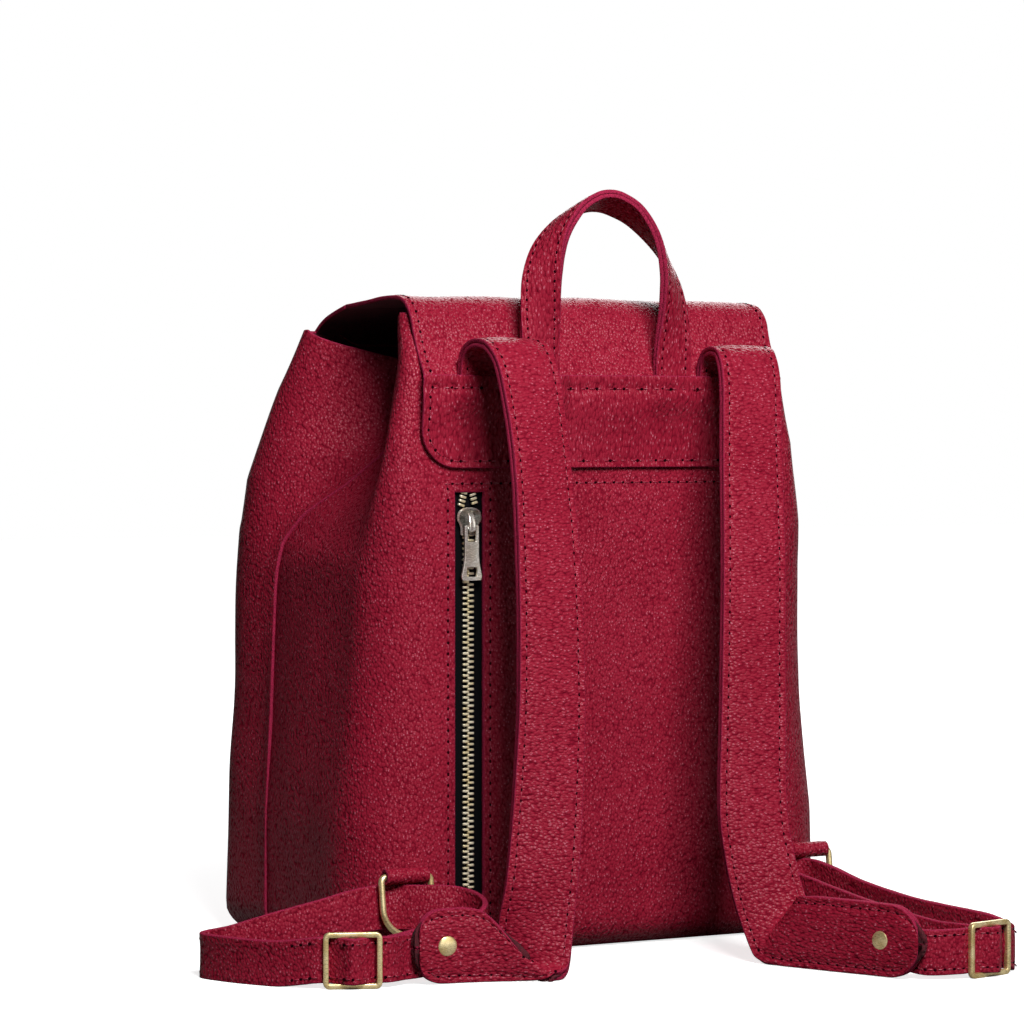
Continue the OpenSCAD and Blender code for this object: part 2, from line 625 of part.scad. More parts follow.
module buckle_loop(centre) {
    translate([centre.x, centre.y, centre.z - lower_w / 2]) difference() {
        cylinder(h = lower_w, r = loop_r, $fn = 48);
        translate([0, 0, -1]) cylinder(h = lower_w + 2, r = loop_r - loop_wall, $fn = 32);
    }
}
module lower_strap(route, centre) {
    color(leather_red) {
        ribbon(smooth_route(route, 2), -lower_t / 2, lower_t / 2);
        buckle_loop(centre);
    }
}
module buckle(centre, turn) {
    color(brass) translate(centre) rotate([0, 0, turn]) {
        difference() {
            cube([buckle_l, buckle_t, buckle_h], center = true);
            cube([buckle_l - 2 * buckle_bar, 2 * buckle_t, buckle_h - 2 * buckle_bar],
                center = true);
        }
        cylinder(h = buckle_h - buckle_bar, r = middle_bar_r, center = true, $fn = 32);
    }
}
// Rivet through the strap's tip: a cap on each side of the leather and a post.
module rivet(centre, turn, back) {
    cap_t = 1.2;
    front = strap_t / 2 + 0.1;
    color(brass) translate(centre) rotate([0, 0, turn]) rotate([-90, 0, 0]) {
        translate([0, 0, front]) cylinder(h = cap_t, d = rivet_d, $fn = 48);
        translate([0, 0, back - cap_t]) cylinder(h = cap_t, d = rivet_d, $fn = 48);
        translate([0, 0, back - cap_t / 2])
            cylinder(h = front - back + cap_t, d = rivet_d * 0.4, $fn = 32);
    }
}
rivet_back = -(strap_t / 2 + gap + lower_t + 0.9);
left_rivet = behind(116.5, 59.6, 17);
left_rivet_turn = -5;
right_rivet = behind(-64.5, 134.8, 16.5);
right_rivet_turn = -68;

// ---- D-rings and their tabs -----------------------------------------------------------------
tab_t = 1;
ring_d = gap + tab_t + roll_r;
roll_l = ring_w - wire_d - 2 * gap;
module ring_bore(extra) {
    rotate([0, 90, 0]) cylinder(h = ring_w + extra, d = wire_d + 0.4, center = true, $fn = 32);
}
module d_ring(side) {
    arc_r = ring_w / 2;
    arm = ring_h - arc_r;
    color(brass) translate(behind(side * ring_x, ring_d, ring_z))
        rotate([ring_lean - 90, 0, 0]) {
            rotate([0, 90, 0]) cylinder(h = ring_w, d = wire_d, center = true, $fn = 32);
            for (x = [-arc_r, arc_r]) translate([x, 0, 0]) {
                sphere(d = wire_d, $fn = 32);
                rotate([-90, 0, 0]) cylinder(h = arm, d = wire_d, $fn = 32);
            }
            translate([0, arm, 0]) rotate_extrude(angle = 180, $fn = 64)
                translate([arc_r, 0]) circle(d = wire_d, $fn = 32);
        }
}
module ring_tab(side) {
    color(leather_red) translate(behind(side * ring_x, ring_d, ring_z)) difference() {
        union() {
            rotate([0, 90, 0]) cylinder(h = roll_l, r = roll_r, center = true, $fn = 48);
            translate([-roll_l / 2, -roll_r - tab_t, -roll_r])
                cube([roll_l, tab_t + roll_r / 2, 2 * roll_r]);
        }
        ring_bore(4);
    }
}

front_panel();
back_panel();
base_panel();
pocket_lining();
yoke();
flap_root();
flap();
flap_front();
snap_socket();
snap_stud();
handle_roots();
handle_face();
handle_lining();
zip_tape(1);  // zip_tape_left
zip_tape(-1);  // zip_tape_right
zip_teeth(1);  // zip_teeth_left
zip_teeth(-1);  // zip_teeth_right
zip_bottom_stop();
zip_slider();
zip_puller();
shoulder_strap_left_face();
shoulder_strap_left_lining();
shoulder_strap_right_face();
shoulder_strap_right_lining();
rivet(left_rivet, left_rivet_turn, rivet_back);  // rivet_left
rivet(right_rivet, right_rivet_turn, rivet_back);  // rivet_right
lower_strap(left_lower, left_buckle);  // lower_strap_left
lower_strap(right_lower, right_buckle);  // lower_strap_right
buckle(left_buckle, left_turn);  // buckle_left
buckle(right_buckle, right_turn);  // buckle_right
d_ring(1);  // d_ring_left
d_ring(-1);  // d_ring_right
ring_tab(1);  // ring_tab_left
ring_tab(-1);  // ring_tab_right
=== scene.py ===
"""Dresses the leather backpack: soft shells, flap, straps, zip and brass over its frame.

Lengths are millimetres until a mesh is written. +Z is up, the flap closes on the -Y side
and the wearer's back is on the +Y side. Every piece except those of the flap and the handle
rides on a body of the frame.
"""

import logging
from dataclasses import dataclass
from enum import Enum
from math import copysign, cos, dist, pi, radians, sin, sqrt
from typing import Any, Callable, Optional, Sequence

import bpy
import numpy as np
from bpy.types import Material, Modifier, Node, NodeSocket, NodeTree, Object
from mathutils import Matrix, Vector, noise


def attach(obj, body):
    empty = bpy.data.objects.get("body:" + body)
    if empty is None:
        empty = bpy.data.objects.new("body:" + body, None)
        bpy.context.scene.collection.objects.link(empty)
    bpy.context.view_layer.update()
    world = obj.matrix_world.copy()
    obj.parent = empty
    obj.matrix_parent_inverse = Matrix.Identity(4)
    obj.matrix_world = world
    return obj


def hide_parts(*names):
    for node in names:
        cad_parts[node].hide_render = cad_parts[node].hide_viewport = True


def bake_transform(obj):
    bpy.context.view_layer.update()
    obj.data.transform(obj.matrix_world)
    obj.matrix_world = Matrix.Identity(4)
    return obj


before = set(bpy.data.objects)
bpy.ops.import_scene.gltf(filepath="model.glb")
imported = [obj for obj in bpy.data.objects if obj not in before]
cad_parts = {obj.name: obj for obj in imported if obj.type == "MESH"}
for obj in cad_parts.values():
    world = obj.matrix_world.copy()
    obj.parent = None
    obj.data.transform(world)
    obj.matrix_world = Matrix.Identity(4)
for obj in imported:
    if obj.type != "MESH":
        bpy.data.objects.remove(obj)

LOG = logging.getLogger("backpack")
MM = 0.001
BACK_Y = 75.0
THREAD_PITCH = 5.0
Array = np.ndarray
Point = tuple[float, float, float]
Station = tuple[Point, Point]


class Side(Enum):
    """A side of the backpack; its value is the sign of that side's x."""

    LEFT = 1
    RIGHT = -1

    @property
    def word(self) -> str:
        """The side's word in the names of pieces and nodes."""
        return self.name.lower()


# ---- curves and surfaces ----


def lookup(z: Any, table: Sequence[tuple[float, float]]) -> Any:
    """Value of a height table at z, straight between its rows."""
    rows = np.array(table, float)
    return np.interp(z, rows[:, 0], rows[:, 1])


def ease(t: Any) -> Any:
    """Smooth step from 0 to 1."""
    return (1 - np.cos(np.pi * np.clip(t, 0, 1))) / 2


def bell(v: Any, middle: float, reach: float) -> Any:
    """Bell curve: 1 at the middle, fading over the reach on both sides."""
    return np.exp(-(((v - middle) / reach) ** 2))


def pressed(grid: Array) -> Array:
    """Pushes the bag's -X side in a little near the top, where the leather is soft."""
    x, z = grid[..., 0], grid[..., 2]
    moved = grid.copy()
    moved[..., 0] += 4.5 * ease((-x - 40) / 50) * bell(z, 250, 44)
    return moved


def unit(v: Array) -> Array:
    """Vectors scaled to length 1 along their last axis."""
    return v / np.maximum(np.linalg.norm(v, axis=-1, keepdims=True), 1e-9)


def behind(x: float, d: float, z: float) -> Point:
    """A point at distance d behind the plane of the back panel."""
    return (x, BACK_Y + d, z)


def smooth_route(stations: Sequence[Any], steps: int) -> Array:
    """Catmull-Rom curve through stations.

    Args:
        stations: points, or nested vectors, one per station.
        steps: pieces between two stations.

    Returns:
        An array with one row per point of the curve, in the stations' own shape.
    """
    st = np.array(stations, float)
    rows = []
    last = len(st) - 1
    for i in range(last):
        a, b, c, d = st[max(i - 1, 0)], st[i], st[i + 1], st[min(i + 2, last)]
        for k in range(steps):
            t = k / steps
            rows.append(b + 0.5 * t * (c - a + t * (2 * a - 5 * b + 4 * c - d + t * (3 * (b - c) + d - a))))
    rows.append(st[last])
    return np.array(rows)


def wave(points: Array, size: float, seed: float) -> Array:
    """Smooth noise from -1 to 1 at points, with waves about size mm long.

    Args:
        points: where it is read.
        size: length of a wave.
        seed: picks another pattern.

    Returns:
        A number for each point.
    """
    shift = Vector((seed, 2.3 * seed, -1.7 * seed))
    flat = points.reshape(-1, 3) / size
    values = [noise.noise(Vector(p) + shift) for p in flat]
    return np.array(values).reshape(points.shape[:-1])


def evenly(path: Array, step: float, more: int = 0) -> Array:
    """Spaces points evenly along a path in a plane.

    Args:
        path: the path's points.
        step: about how far apart the new points are.
        more: points beyond one for each step.

    Returns:
        The new points, from the path's start to its end.
    """
    length = np.concatenate([[0], np.cumsum(np.linalg.norm(np.diff(path, axis=0), axis=1))])
    at = np.linspace(0, length[-1], int(length[-1] / step) + more)
    return np.column_stack([np.interp(at, length, path[:, k]) for k in (0, 1)])


def arc(x: float, z: float, r: float, angles: Any) -> list:
    """Points on a circle about (x, z) at angles in degrees."""
    return [(x + r * cos(a), z + r * sin(a)) for a in np.radians(angles)]


def outward_sign(grid: Array, i: int, j: int, away: Array) -> float:
    """Tells which way a grid's faces look.

    Args:
        grid: the grid of points.
        i: row of the cell that is tried.
        j: column of that cell.
        away: the direction that the grain side must look in.

    Returns:
        1 if the cell's face looks that way, else -1.
    """
    over, down = grid[i, j + 1] - grid[i, j], grid[i + 1, j] - grid[i, j]
    return 1.0 if np.cross(over, down) @ away > 0 else -1.0


def facing(grid: Array, row: int) -> float:
    """1 if the faces in the middle of a grid's row look away from the bag, else -1."""
    mid = grid.shape[1] // 2
    return outward_sign(grid, row, mid, grid[row, mid] * (0, 1, 0))


def grid_normals(grid: Array) -> Array:
    """Unit normals of a grid of points, along rows crossed with columns."""
    return unit(np.cross(np.gradient(grid, axis=0), np.gradient(grid, axis=1)))


def grid_faces(rows: int, cols: int, skip: Optional[Callable[[int, int], bool]] = None) -> list:
    """Four-sided faces of a grid, without the cells for which skip is true."""
    return [
        (i * cols + j, i * cols + j + 1, (i + 1) * cols + j + 1, (i + 1) * cols + j)
        for i in range(rows - 1)
        for j in range(cols - 1)
        if not (skip and skip(i, j))
    ]


def hoop_faces(hoops: int, sides: int) -> list:
    """Four-sided faces of a stack of closed hoops, each with the same number of points."""
    return [
        (i * sides + j, i * sides + (j + 1) % sides,
         (i + 1) * sides + (j + 1) % sides, (i + 1) * sides + j)
        for i in range(hoops - 1)
        for j in range(sides)
    ]


def turned_hoops(hoops: int, sides: int) -> list:
    """The faces of stacked hoops, seen from the other side."""
    return [(a, d, c, b) for a, b, c, d in hoop_faces(hoops, sides)]


def linked(name: str, data: Any) -> Object:
    """Makes an object from its data and links it to the scene."""
    obj = bpy.data.objects.new(name, data)
    bpy.context.scene.collection.objects.link(obj)
    return obj


def taken_mesh(guide: Object) -> Any:
    """Keeps what a guide's nodes or curves give as a mesh, and deletes the guide."""
    depsgraph = bpy.context.evaluated_depsgraph_get()
    mesh = bpy.data.meshes.new_from_object(guide.evaluated_get(depsgraph))
    bpy.data.objects.remove(guide)
    return mesh


def mesh_object(
    name: str, points: Array, faces: Sequence[Sequence[int]], materials: Sequence[Material],
    slots: Optional[Sequence[int]] = None, smooth: bool = True,
) -> Object:
    """Makes a mesh object from points in millimetres.

    Args:
        name: the piece's name.
        points: the vertices, in millimetres.
        faces: vertex numbers of each face, anticlockwise from outside.
        materials: the piece's materials.
        slots: the material number of each face; all 0 if left out.
        smooth: whether faces are shaded smooth.

    Returns:
        The linked object, at the origin.
    """
    mesh = bpy.data.meshes.new(name)
    mesh.from_pydata((np.asarray(points, float) * MM).tolist(), [], [tuple(f) for f in faces])
    for material in materials:
        mesh.materials.append(material)
    if slots is not None:
        mesh.polygons.foreach_set("material_index", list(slots))
    mesh.polygons.foreach_set("use_smooth", [smooth] * len(mesh.polygons))
    mesh.update()
    return linked(name, mesh)


# A raw-cut edge bulges a little: distance out and depth in, as shares of the thickness.
CUT_EDGE = ((0.10, 0.03), (0.19, 0.16), (0.22, 0.38), (0.22, 0.62), (0.19, 0.84), (0.10, 0.97))
FUZZ = 0.16


def leather(
    name: str, points: Array, thickness: float, hide: "Hide", outward: float = 1.0,
    faces: Optional[list] = None,
) -> Object:
    """Closed leather from its open grain surface, with rounded raw-cut edges.

    Args:
        name: the piece's name.
        points: vertices of the grain surface.
        thickness: thickness of the leather.
        hide: the leather's three materials.
        outward: -1 turns the faces round first.
        faces: faces that run anticlockwise on the grain side; those of a grid if left out.

    Returns:
        The linked object with grain, flesh and cut-edge faces.
    """
    pts = np.asarray(points, float).reshape(-1, 3)
    quads = np.array(grid_faces(*points.shape[:2]) if faces is None else faces)
    if outward < 0:
        quads = quads[:, ::-1]
    p = pts[quads]
    face_n = np.cross(p[:, 2] - p[:, 0], p[:, 3] - p[:, 1])
    normal = np.zeros_like(pts)
    for k in range(4):
        np.add.at(normal, quads[:, k], face_n)
    normal = unit(normal)
    count, owner = {}, {}
    for f, quad in enumerate(quads.tolist()):
        for k in range(4):
            a, b = quad[k], quad[(k + 1) % 4]
            key = (min(a, b), max(a, b))
            count[key] = count.get(key, 0) + 1
            owner[key] = (a, b, f)
    rim = [owner[key] for key, n in count.items() if n == 1]
    out = np.zeros_like(pts)
    for a, b, f in rim:
        side = unit(np.cross(pts[b] - pts[a], unit(face_n[f])))
        out[a] += side
        out[b] += side
    out = unit(out)
    rim_ids = sorted({v for a, b, _ in rim for v in (a, b)})
    place = {v: k for k, v in enumerate(rim_ids)}
    n = len(pts)
    rim_points = pts[rim_ids]
    rings = []
    for k, (go, down) in enumerate(CUT_EDGE):
        fuzz = 1 + FUZZ * wave(rim_points + 7.0 * k, 1.6, 3.0)[:, None]
        rings.append(
            rim_points + out[rim_ids] * (thickness * go) * fuzz - normal[rim_ids] * thickness * down
        )
    all_points = np.concatenate([pts, pts - normal * thickness, *rings])
    m = len(rim_ids)

    def ring_id(level: int, v: int) -> int:
        """Number of a rim vertex at an edge ring; -1 is the grain, the last the flesh side."""
        if level < 0:
            return v
        if level >= len(CUT_EDGE):
            return n + v
        return 2 * n + level * m + place[v]

    edge_faces = [
        (ring_id(k - 1, b), ring_id(k - 1, a), ring_id(k, a), ring_id(k, b))
        for a, b, _ in rim
        for k in range(len(CUT_EDGE) + 1)
    ]
    faces_all = quads.tolist() + (quads[:, ::-1] + n).tolist() + edge_faces
    slots = [0] * len(quads) + [1] * len(quads) + [2] * len(edge_faces)
    return mesh_object(name, all_points, faces_all, [hide.grain, hide.flesh, hide.edge], slots)


def tube(
    name: str, path: Array, profile: Callable[[float], tuple[float, float]], across: Array,
    material: Material, sides: int = 20,
) -> Object:
    """Closed ring of a given section swept along a closed path.

    Args:
        name: the piece's name.
        path: points of the closed path, the first not repeated.
        profile: turns an angle into the section's (sideways, across) distances.
        across: unit vector square to the path's plane.
        material: the piece's material.
        sides: points round the section.

    Returns:
        The linked object.
    """
    tangent = unit(np.roll(path, -1, axis=0) - np.roll(path, 1, axis=0))
    side = unit(np.cross(tangent, across))
    rings = []
    for k in range(sides):
        a, b = profile(2 * pi * k / sides)
        rings.append(path + side * a + across * b)
    points = np.stack(rings, axis=1)
    rows, cols = points.shape[:2]
    faces = [
        tuple((i + up) % rows * cols + (j + over) % cols for up, over in ((0, 0), (1, 0), (1, 1), (0, 1)))
        for i in range(rows)
        for j in range(cols)
    ]
    obj = mesh_object(name, points.reshape(-1, 3), faces, [material])
    face_outward(obj)
    return obj


def face_outward(obj: Object) -> None:
    """Turns a closed mesh's faces outwards if its volume is negative."""
    mesh = obj.data
    mesh.calc_loop_triangles()
    co = np.array([v.co for v in mesh.vertices])
    tri = co[np.array([t.vertices for t in mesh.loop_triangles])]
    if np.einsum("ij,ij->", tri[:, 0], np.cross(tri[:, 1], tri[:, 2])) < 0:
        mesh.flip_normals()


def rounded_box_points(half: Sequence[float], power: float, phi: float) -> tuple[float, float]:
    """Point at angle phi on a superellipse with the given half sizes."""
    c, s = cos(phi), sin(phi)
    return (half[0] * copysign(abs(c) ** (2 / power), c), half[1] * copysign(abs(s) ** (2 / power), s))


# ---- finishes ----


def linear(code: str) -> tuple[float, float, float, float]:
    """Turns an sRGB hex colour into linear RGBA."""
    channels = [int(code[k : k + 2], 16) / 255 for k in (1, 3, 5)]
    turned = [c / 12.92 if c <= 0.04045 else ((c + 0.055) / 1.055) ** 2.4 for c in channels]
    return (*turned, 1.0)


def put(tree: NodeTree, kind: str, inputs: Optional[dict] = None, **settings: Any) -> Any:
    """Adds a node with its settings, and links or sets its inputs.

    Args:
        tree: the node tree.
        kind: the node's type name.
        inputs: for each input, by name or number, a value, or the node or output to link.
        **settings: the node's own properties.

    Returns:
        The new node.
    """
    node = tree.nodes.new(kind)
    for key, value in settings.items():
        setattr(node, key, value)
    for key, value in (inputs or {}).items():
        if isinstance(value, Node):
            value = value.outputs[0]
        if isinstance(value, NodeSocket):
            tree.links.new(value, node.inputs[key])
        else:
            node.inputs[key].default_value = value
    return node


def maths(tree: NodeTree, operation: str, *values: Any) -> Any:
    """Does a sum on nodes, outputs and numbers; gives the node."""
    return put(tree, "ShaderNodeMath", dict(enumerate(values)), operation=operation)


def vectors(tree: NodeTree, operation: str, *values: Any) -> Any:
    """Does a sum on vectors; gives the node."""
    return put(tree, "ShaderNodeVectorMath", dict(enumerate(values)), operation=operation)


def speckle(tree: NodeTree, place: Any, scale: float, detail: float = 2.0) -> Any:
    """Soft noise at places; gives the output socket of its level."""
    inputs = {"Vector": place, "Scale": scale, "Detail": detail}
    return put(tree, "ShaderNodeTexNoise", inputs).outputs["Fac"]


def ribs(tree: NodeTree, place: Any, scale: float, ripple: float, way: str) -> Any:
    """Even bands at places, with some ripple; gives the output socket of their level."""
    inputs = {"Vector": place, "Scale": scale, "Distortion": ripple}
    return put(tree, "ShaderNodeTexWave", inputs, bands_direction=way).outputs["Fac"]


def relief(tree: NodeTree, height: Any, strength: float, depth_mm: float) -> Any:
    """Bumps of a depth in millimetres; gives the node."""
    inputs = {"Strength": strength, "Distance": depth_mm * MM, "Height": height}
    return put(tree, "ShaderNodeBump", inputs)


def new_material(name: str) -> tuple[Material, NodeTree, Any]:
    """An empty node material with millimetre Object coordinates.

    Returns:
        The material, its tree and the coordinates' node.
    """
    material = bpy.data.materials.new(name)
    material.use_nodes = True
    tree = material.node_tree
    tree.nodes.clear()
    place = put(tree, "ShaderNodeTexCoord")
    scaled = vectors(tree, "MULTIPLY", place.outputs["Object"], (1 / MM, 1 / MM, 1 / MM))
    return material, tree, scaled


def surface(tree: NodeTree, shader: Any) -> None:
    """Links a shader to the material's output."""
    put(tree, "ShaderNodeOutputMaterial", {"Surface": shader})


def coat(tree: NodeTree, colour: Any, roughness: Any, normal: Any, **more: Any) -> None:
    """Gives a material its one shader.

    Args:
        tree: the material's tree.
        colour: the base colour.
        roughness: the roughness.
        normal: the bumps.
        **more: the shader's other inputs, with underscores for spaces.
    """
    inputs = {"Base Color": colour, "Roughness": roughness, "Normal": normal}
    inputs.update({key.replace("_", " "): value for key, value in more.items()})
    surface(tree, put(tree, "ShaderNodeBsdfPrincipled", inputs))


def ramp(tree: NodeTree, value: Any, low: float, high: float, a: float, b: float) -> Any:
    """Smooth map of a value from low..high to a..b; gives the node."""
    inputs = dict(enumerate((value, low, high, a, b)))
    return put(tree, "ShaderNodeMapRange", inputs, interpolation_type="SMOOTHSTEP")


def blend_colour(tree: NodeTree, share: Any, a: Any, b: Any) -> Any:
    """Mixes two colours, given as hex codes or outputs; gives the output socket."""
    first = linear(a) if isinstance(a, str) else a
    second = linear(b) if isinstance(b, str) else b
    node = put(tree, "ShaderNodeMix", {0: share, 6: first, 7: second}, data_type="RGBA")
    return node.outputs[2]


def sums(tree: NodeTree, terms: Sequence[tuple[Any, float]]) -> Any:
    """Weighted sum of nodes or outputs; gives the last node."""
    total: Any = 0.0
    for value, weight in terms:
        total = maths(tree, "MULTIPLY_ADD", value, weight, total)
    return total


@dataclass(frozen=True)
class PebbledCowhide:
    """Drum-dyed pebbled cowhide: tumbled full-grain leather with raised, glossy pebbles, and a painted
    highlight on their crowns.
    """

    name: str = "pebbled cowhide"
    pebble: str = "#931930"
    # Painted shade: the darker colour painted into the creases between pebbles.
    crease: str = "#821329"
    bloom: str = "#9d2037"
    # Painted highlight: the pale pink painted on the crown of each pebble.
    tip: str = "#dc8095"
    pebble_mm: float = 1.4
    depth_mm: float = 0.5
    roughness: float = 0.3
    stretch: tuple = (1.2, 1.2, 0.85)
    lean: float = 0.5

    def make(self) -> Material:
        """Builds the material: round pebbles with creases between them, painted darker in the creases as
        painted shade.
        """
        material, tree, flat = new_material(self.name)
        turned = {"Vector": flat, "Rotation": (0.0, self.lean, 0.0), "Scale": self.stretch}
        place = put(tree, "ShaderNodeMapping", turned)
        drift = put(tree, "ShaderNodeTexNoise", {"Vector": place, "Scale": 0.25, "Detail": 0.0})
        pushed = vectors(tree, "MULTIPLY_ADD", drift.outputs["Color"], (0.6, 0.6, 0.6), place)
        cells = put(tree, "ShaderNodeTexVoronoi", {"Vector": pushed, "Scale": 1 / self.pebble_mm})
        big = maths(tree, "POWER", cells.outputs["Distance"], 2.0)
        chance = put(tree, "ShaderNodeSeparateXYZ", {0: cells.outputs["Color"]})
        small = speckle(tree, place, 0.8, 1.0)
        wrinkle = speckle(tree, place, 0.12, 2.0)
        patches = speckle(tree, place, 0.028, 3.0)
        height = sums(tree, [(big, -1.0), (small, 0.2), (wrinkle, 0.45)])
        tone = ramp(tree, patches, 0.3, 0.7, 0.0, 0.8)
        grain = blend_colour(tree, tone, self.pebble, self.bloom)
        # Painted shade: the creases take the darker crease colour.
        depth = ramp(tree, big, 0.25, 0.7, 0.0, 1.0)
        colour = blend_colour(tree, depth, grain, self.crease)
        # Painted highlight: each pebble's crown gets the pale tip colour, more on some pebbles than others,
        # picked at random by cell.
        highlight_strength = ramp(tree, chance, 0.1, 1.0, 0.05, 0.65)
        crown = ramp(tree, big, 0.0, 0.1, 1.0, 0.0)
        colour = blend_colour(tree, maths(tree, "MULTIPLY", highlight_strength, crown), colour, self.tip)
        gloss = ramp(tree, depth, 0.0, 1.0, self.roughness, self.roughness + 0.35)
        shine = ramp(tree, depth, 0.0, 0.7, 0.12, 0.02)
        normal = relief(tree, height, 1.0, self.depth_mm)
        coat(tree, colour, gloss, normal, IOR=1.5, Specular_IOR_Level=shine)
        return material


@dataclass(frozen=True)
class RawFibre:
    """Cowhide with no grain: matt fibres, as on its flesh side and its cut edges."""

    name: str
    fibre: str
    shade: str
    roughness: float
    scale: float
    detail: float
    tones: tuple[float, float]
    relief: tuple[float, float]
    specular: float

    def make(self) -> Material:
        """Builds the material: short loose fibres as fine noise."""
        material, tree, place = new_material(self.name)
        nap = speckle(tree, place, self.scale, self.detail)
        colour = blend_colour(tree, ramp(tree, nap, *self.tones, 0.0, 1.0), self.shade, self.fibre)
        normal = relief(tree, nap, *self.relief)
        coat(tree, colour, self.roughness, normal, Specular_IOR_Level=self.specular)
        return material


@dataclass(frozen=True)
class WaxedThread:
    """Waxed polyester thread: twisted, dyed to the hide, with a waxy sheen."""

    name: str = "waxed thread"
    ply: str = "#a3203f"
    furrow: str = "#7c0c27"
    roughness: float = 0.42

    def make(self) -> Material:
        """Builds the material: the twist is a fine wave."""
        material, tree, place = new_material(self.name)
        twist = ribs(tree, place, 0.55, 1.5, "DIAGONAL")
        colour = blend_colour(tree, twist, self.furrow, self.ply)
        coat(tree, colour, self.roughness, relief(tree, twist, 0.4, 0.1))
        return material


@dataclass(frozen=True)
class NeedleHole:
    """Pierced leather: a dark, matt pit, whose darkness is painted shade of the hole."""

    name: str = "needle hole"
    # Painted shade: the near-black colour of the hole's bead stands in for the shade inside the hole.
    pit: str = "#160207"
    fibre: str = "#2b0711"

    def make(self) -> Material:
        """Builds the material: painted shade, dark with a trace of fibre."""
        material, tree, place = new_material(self.name)
        colour = blend_colour(tree, speckle(tree, place, 2.5), self.pit, self.fibre)
        surface(tree, put(tree, "ShaderNodeBsdfDiffuse", {"Color": colour}))
        return material


@dataclass(frozen=True)
class WovenCloth:
    """Woven polyester: a matt twill with a fine diagonal rib."""

    name: str
    warp: str
    weft: str
    rib_mm: float

    def make(self) -> Material:
        """Builds the material: diagonal ribs crossed by fine threads."""
        material, tree, place = new_material(self.name)
        wave_scale = 0.314 / self.rib_mm
        diagonal = ribs(tree, place, wave_scale, 0.6, "DIAGONAL")
        picks = ribs(tree, place, 1.4 * wave_scale, 0.0, "Z")
        height = sums(tree, [(diagonal, 0.6), (picks, 0.4)])
        colour = blend_colour(tree, height, self.weft, self.warp)
        normal = relief(tree, height, 0.7, 0.12)
        coat(tree, colour, 0.9, normal, Specular_IOR_Level=0.1)
        return material


@dataclass(frozen=True)
class CastBrass:
    """Lacquered or plated brass: fine handling scratches and dulled patches."""

    name: str
    bright: str
    dull: str
    roughness: float
    metallic: float = 0.72

    def make(self) -> Material:
        """Builds the material: brushed scratches and soft tarnish."""
        material, tree, place = new_material(self.name)
        stretched = put(tree, "ShaderNodeMapping", {"Vector": place, "Scale": (0.5, 0.5, 6.0)})
        brush = speckle(tree, stretched, 1.2, 4.0)
        tarnish = speckle(tree, place, 0.16, 3.0)
        share = ramp(tree, tarnish, 0.38, 0.66, 0.0, 0.75)
        colour = blend_colour(tree, share, self.bright, self.dull)
        gloss = ramp(tree, brush, 0.3, 0.7, self.roughness - 0.07, self.roughness + 0.1)
        coat(tree, colour, gloss, relief(tree, brush, 0.25, 0.03), Metallic=self.metallic)
        return material


@dataclass(frozen=True)
class Hide:
    """The three faces of one cut piece of leather."""

    grain: Material
    flesh: Material
    edge: Material


@dataclass(frozen=True)
class Palette:
    """Every material of the backpack."""

    hide: Hide
    pulled: Hide
    bent: Hide
    thread: Material
    hole: Material
    tape: Material
    pocket: Material
    zip_metal: Material
    tooth: Material
    brass: Material


def make_palette() -> Palette:
    """Builds every material once."""
    flesh = RawFibre(
        "cowhide flesh side", "#5a0a1c", "#400512", 0.92, 1.1, 4.0, (0.35, 0.65), (0.6, 0.25), 0.5
    )
    edge = RawFibre("raw cut edge", "#a8264a", "#6e1029", 0.85, 1.8, 5.0, (0.32, 0.6), (0.9, 0.3), 0.15)
    hide = Hide(PebbledCowhide().make(), flesh.make(), edge.make())
    creased = PebbledCowhide("creased cowhide", stretch=(1.2, 1.2, 0.5), lean=0.1).make()
    folded = PebbledCowhide("folded cowhide", stretch=(0.7, 0.7, 1.2), lean=0.05).make()
    return Palette(
        hide=hide, pulled=Hide(creased, hide.flesh, hide.edge), bent=Hide(folded, hide.flesh, hide.edge),
        thread=WaxedThread().make(), hole=NeedleHole().make(),
        tape=WovenCloth("woven zip tape", "#101014", "#050507", 0.6).make(),
        pocket=WovenCloth("pocket twill", "#1c1c20", "#0c0c0e", 0.8).make(),
        zip_metal=CastBrass("pale gold plating", "#f8f2e8", "#e8dcc8", 0.2).make(),
        tooth=CastBrass("gilt zip tooth", "#fff4d8", "#f4dfa6", 0.42).make(),
        brass=CastBrass("antique brass", "#f0dca8", "#c4a868", 0.3).make(),
    )


# ---- stitches and teeth, made by Geometry Nodes ----


def node_input(tree: NodeTree, name: str, kind: str) -> None:
    """Adds a named input to a node group's interface."""
    tree.interface.new_socket(name=name, in_out="INPUT", socket_type=kind)


def node_group(name: str, numbers: Sequence[str], materials: Sequence[str]) -> tuple[Any, Any]:
    """Starts a Geometry Nodes group.

    Args:
        name: the group's name.
        numbers: names of its number inputs.
        materials: names of its material inputs.

    Returns:
        The group's tree and the outputs of its input node.
    """
    tree = bpy.data.node_groups.new(name, "GeometryNodeTree")
    node_input(tree, "Geometry", "NodeSocketGeometry")
    for number in numbers:
        node_input(tree, number, "NodeSocketFloat")
    for material in materials:
        node_input(tree, material, "NodeSocketMaterial")
    tree.interface.new_socket(name="Geometry", in_out="OUTPUT", socket_type="NodeSocketGeometry")
    return tree, put(tree, "NodeGroupInput").outputs


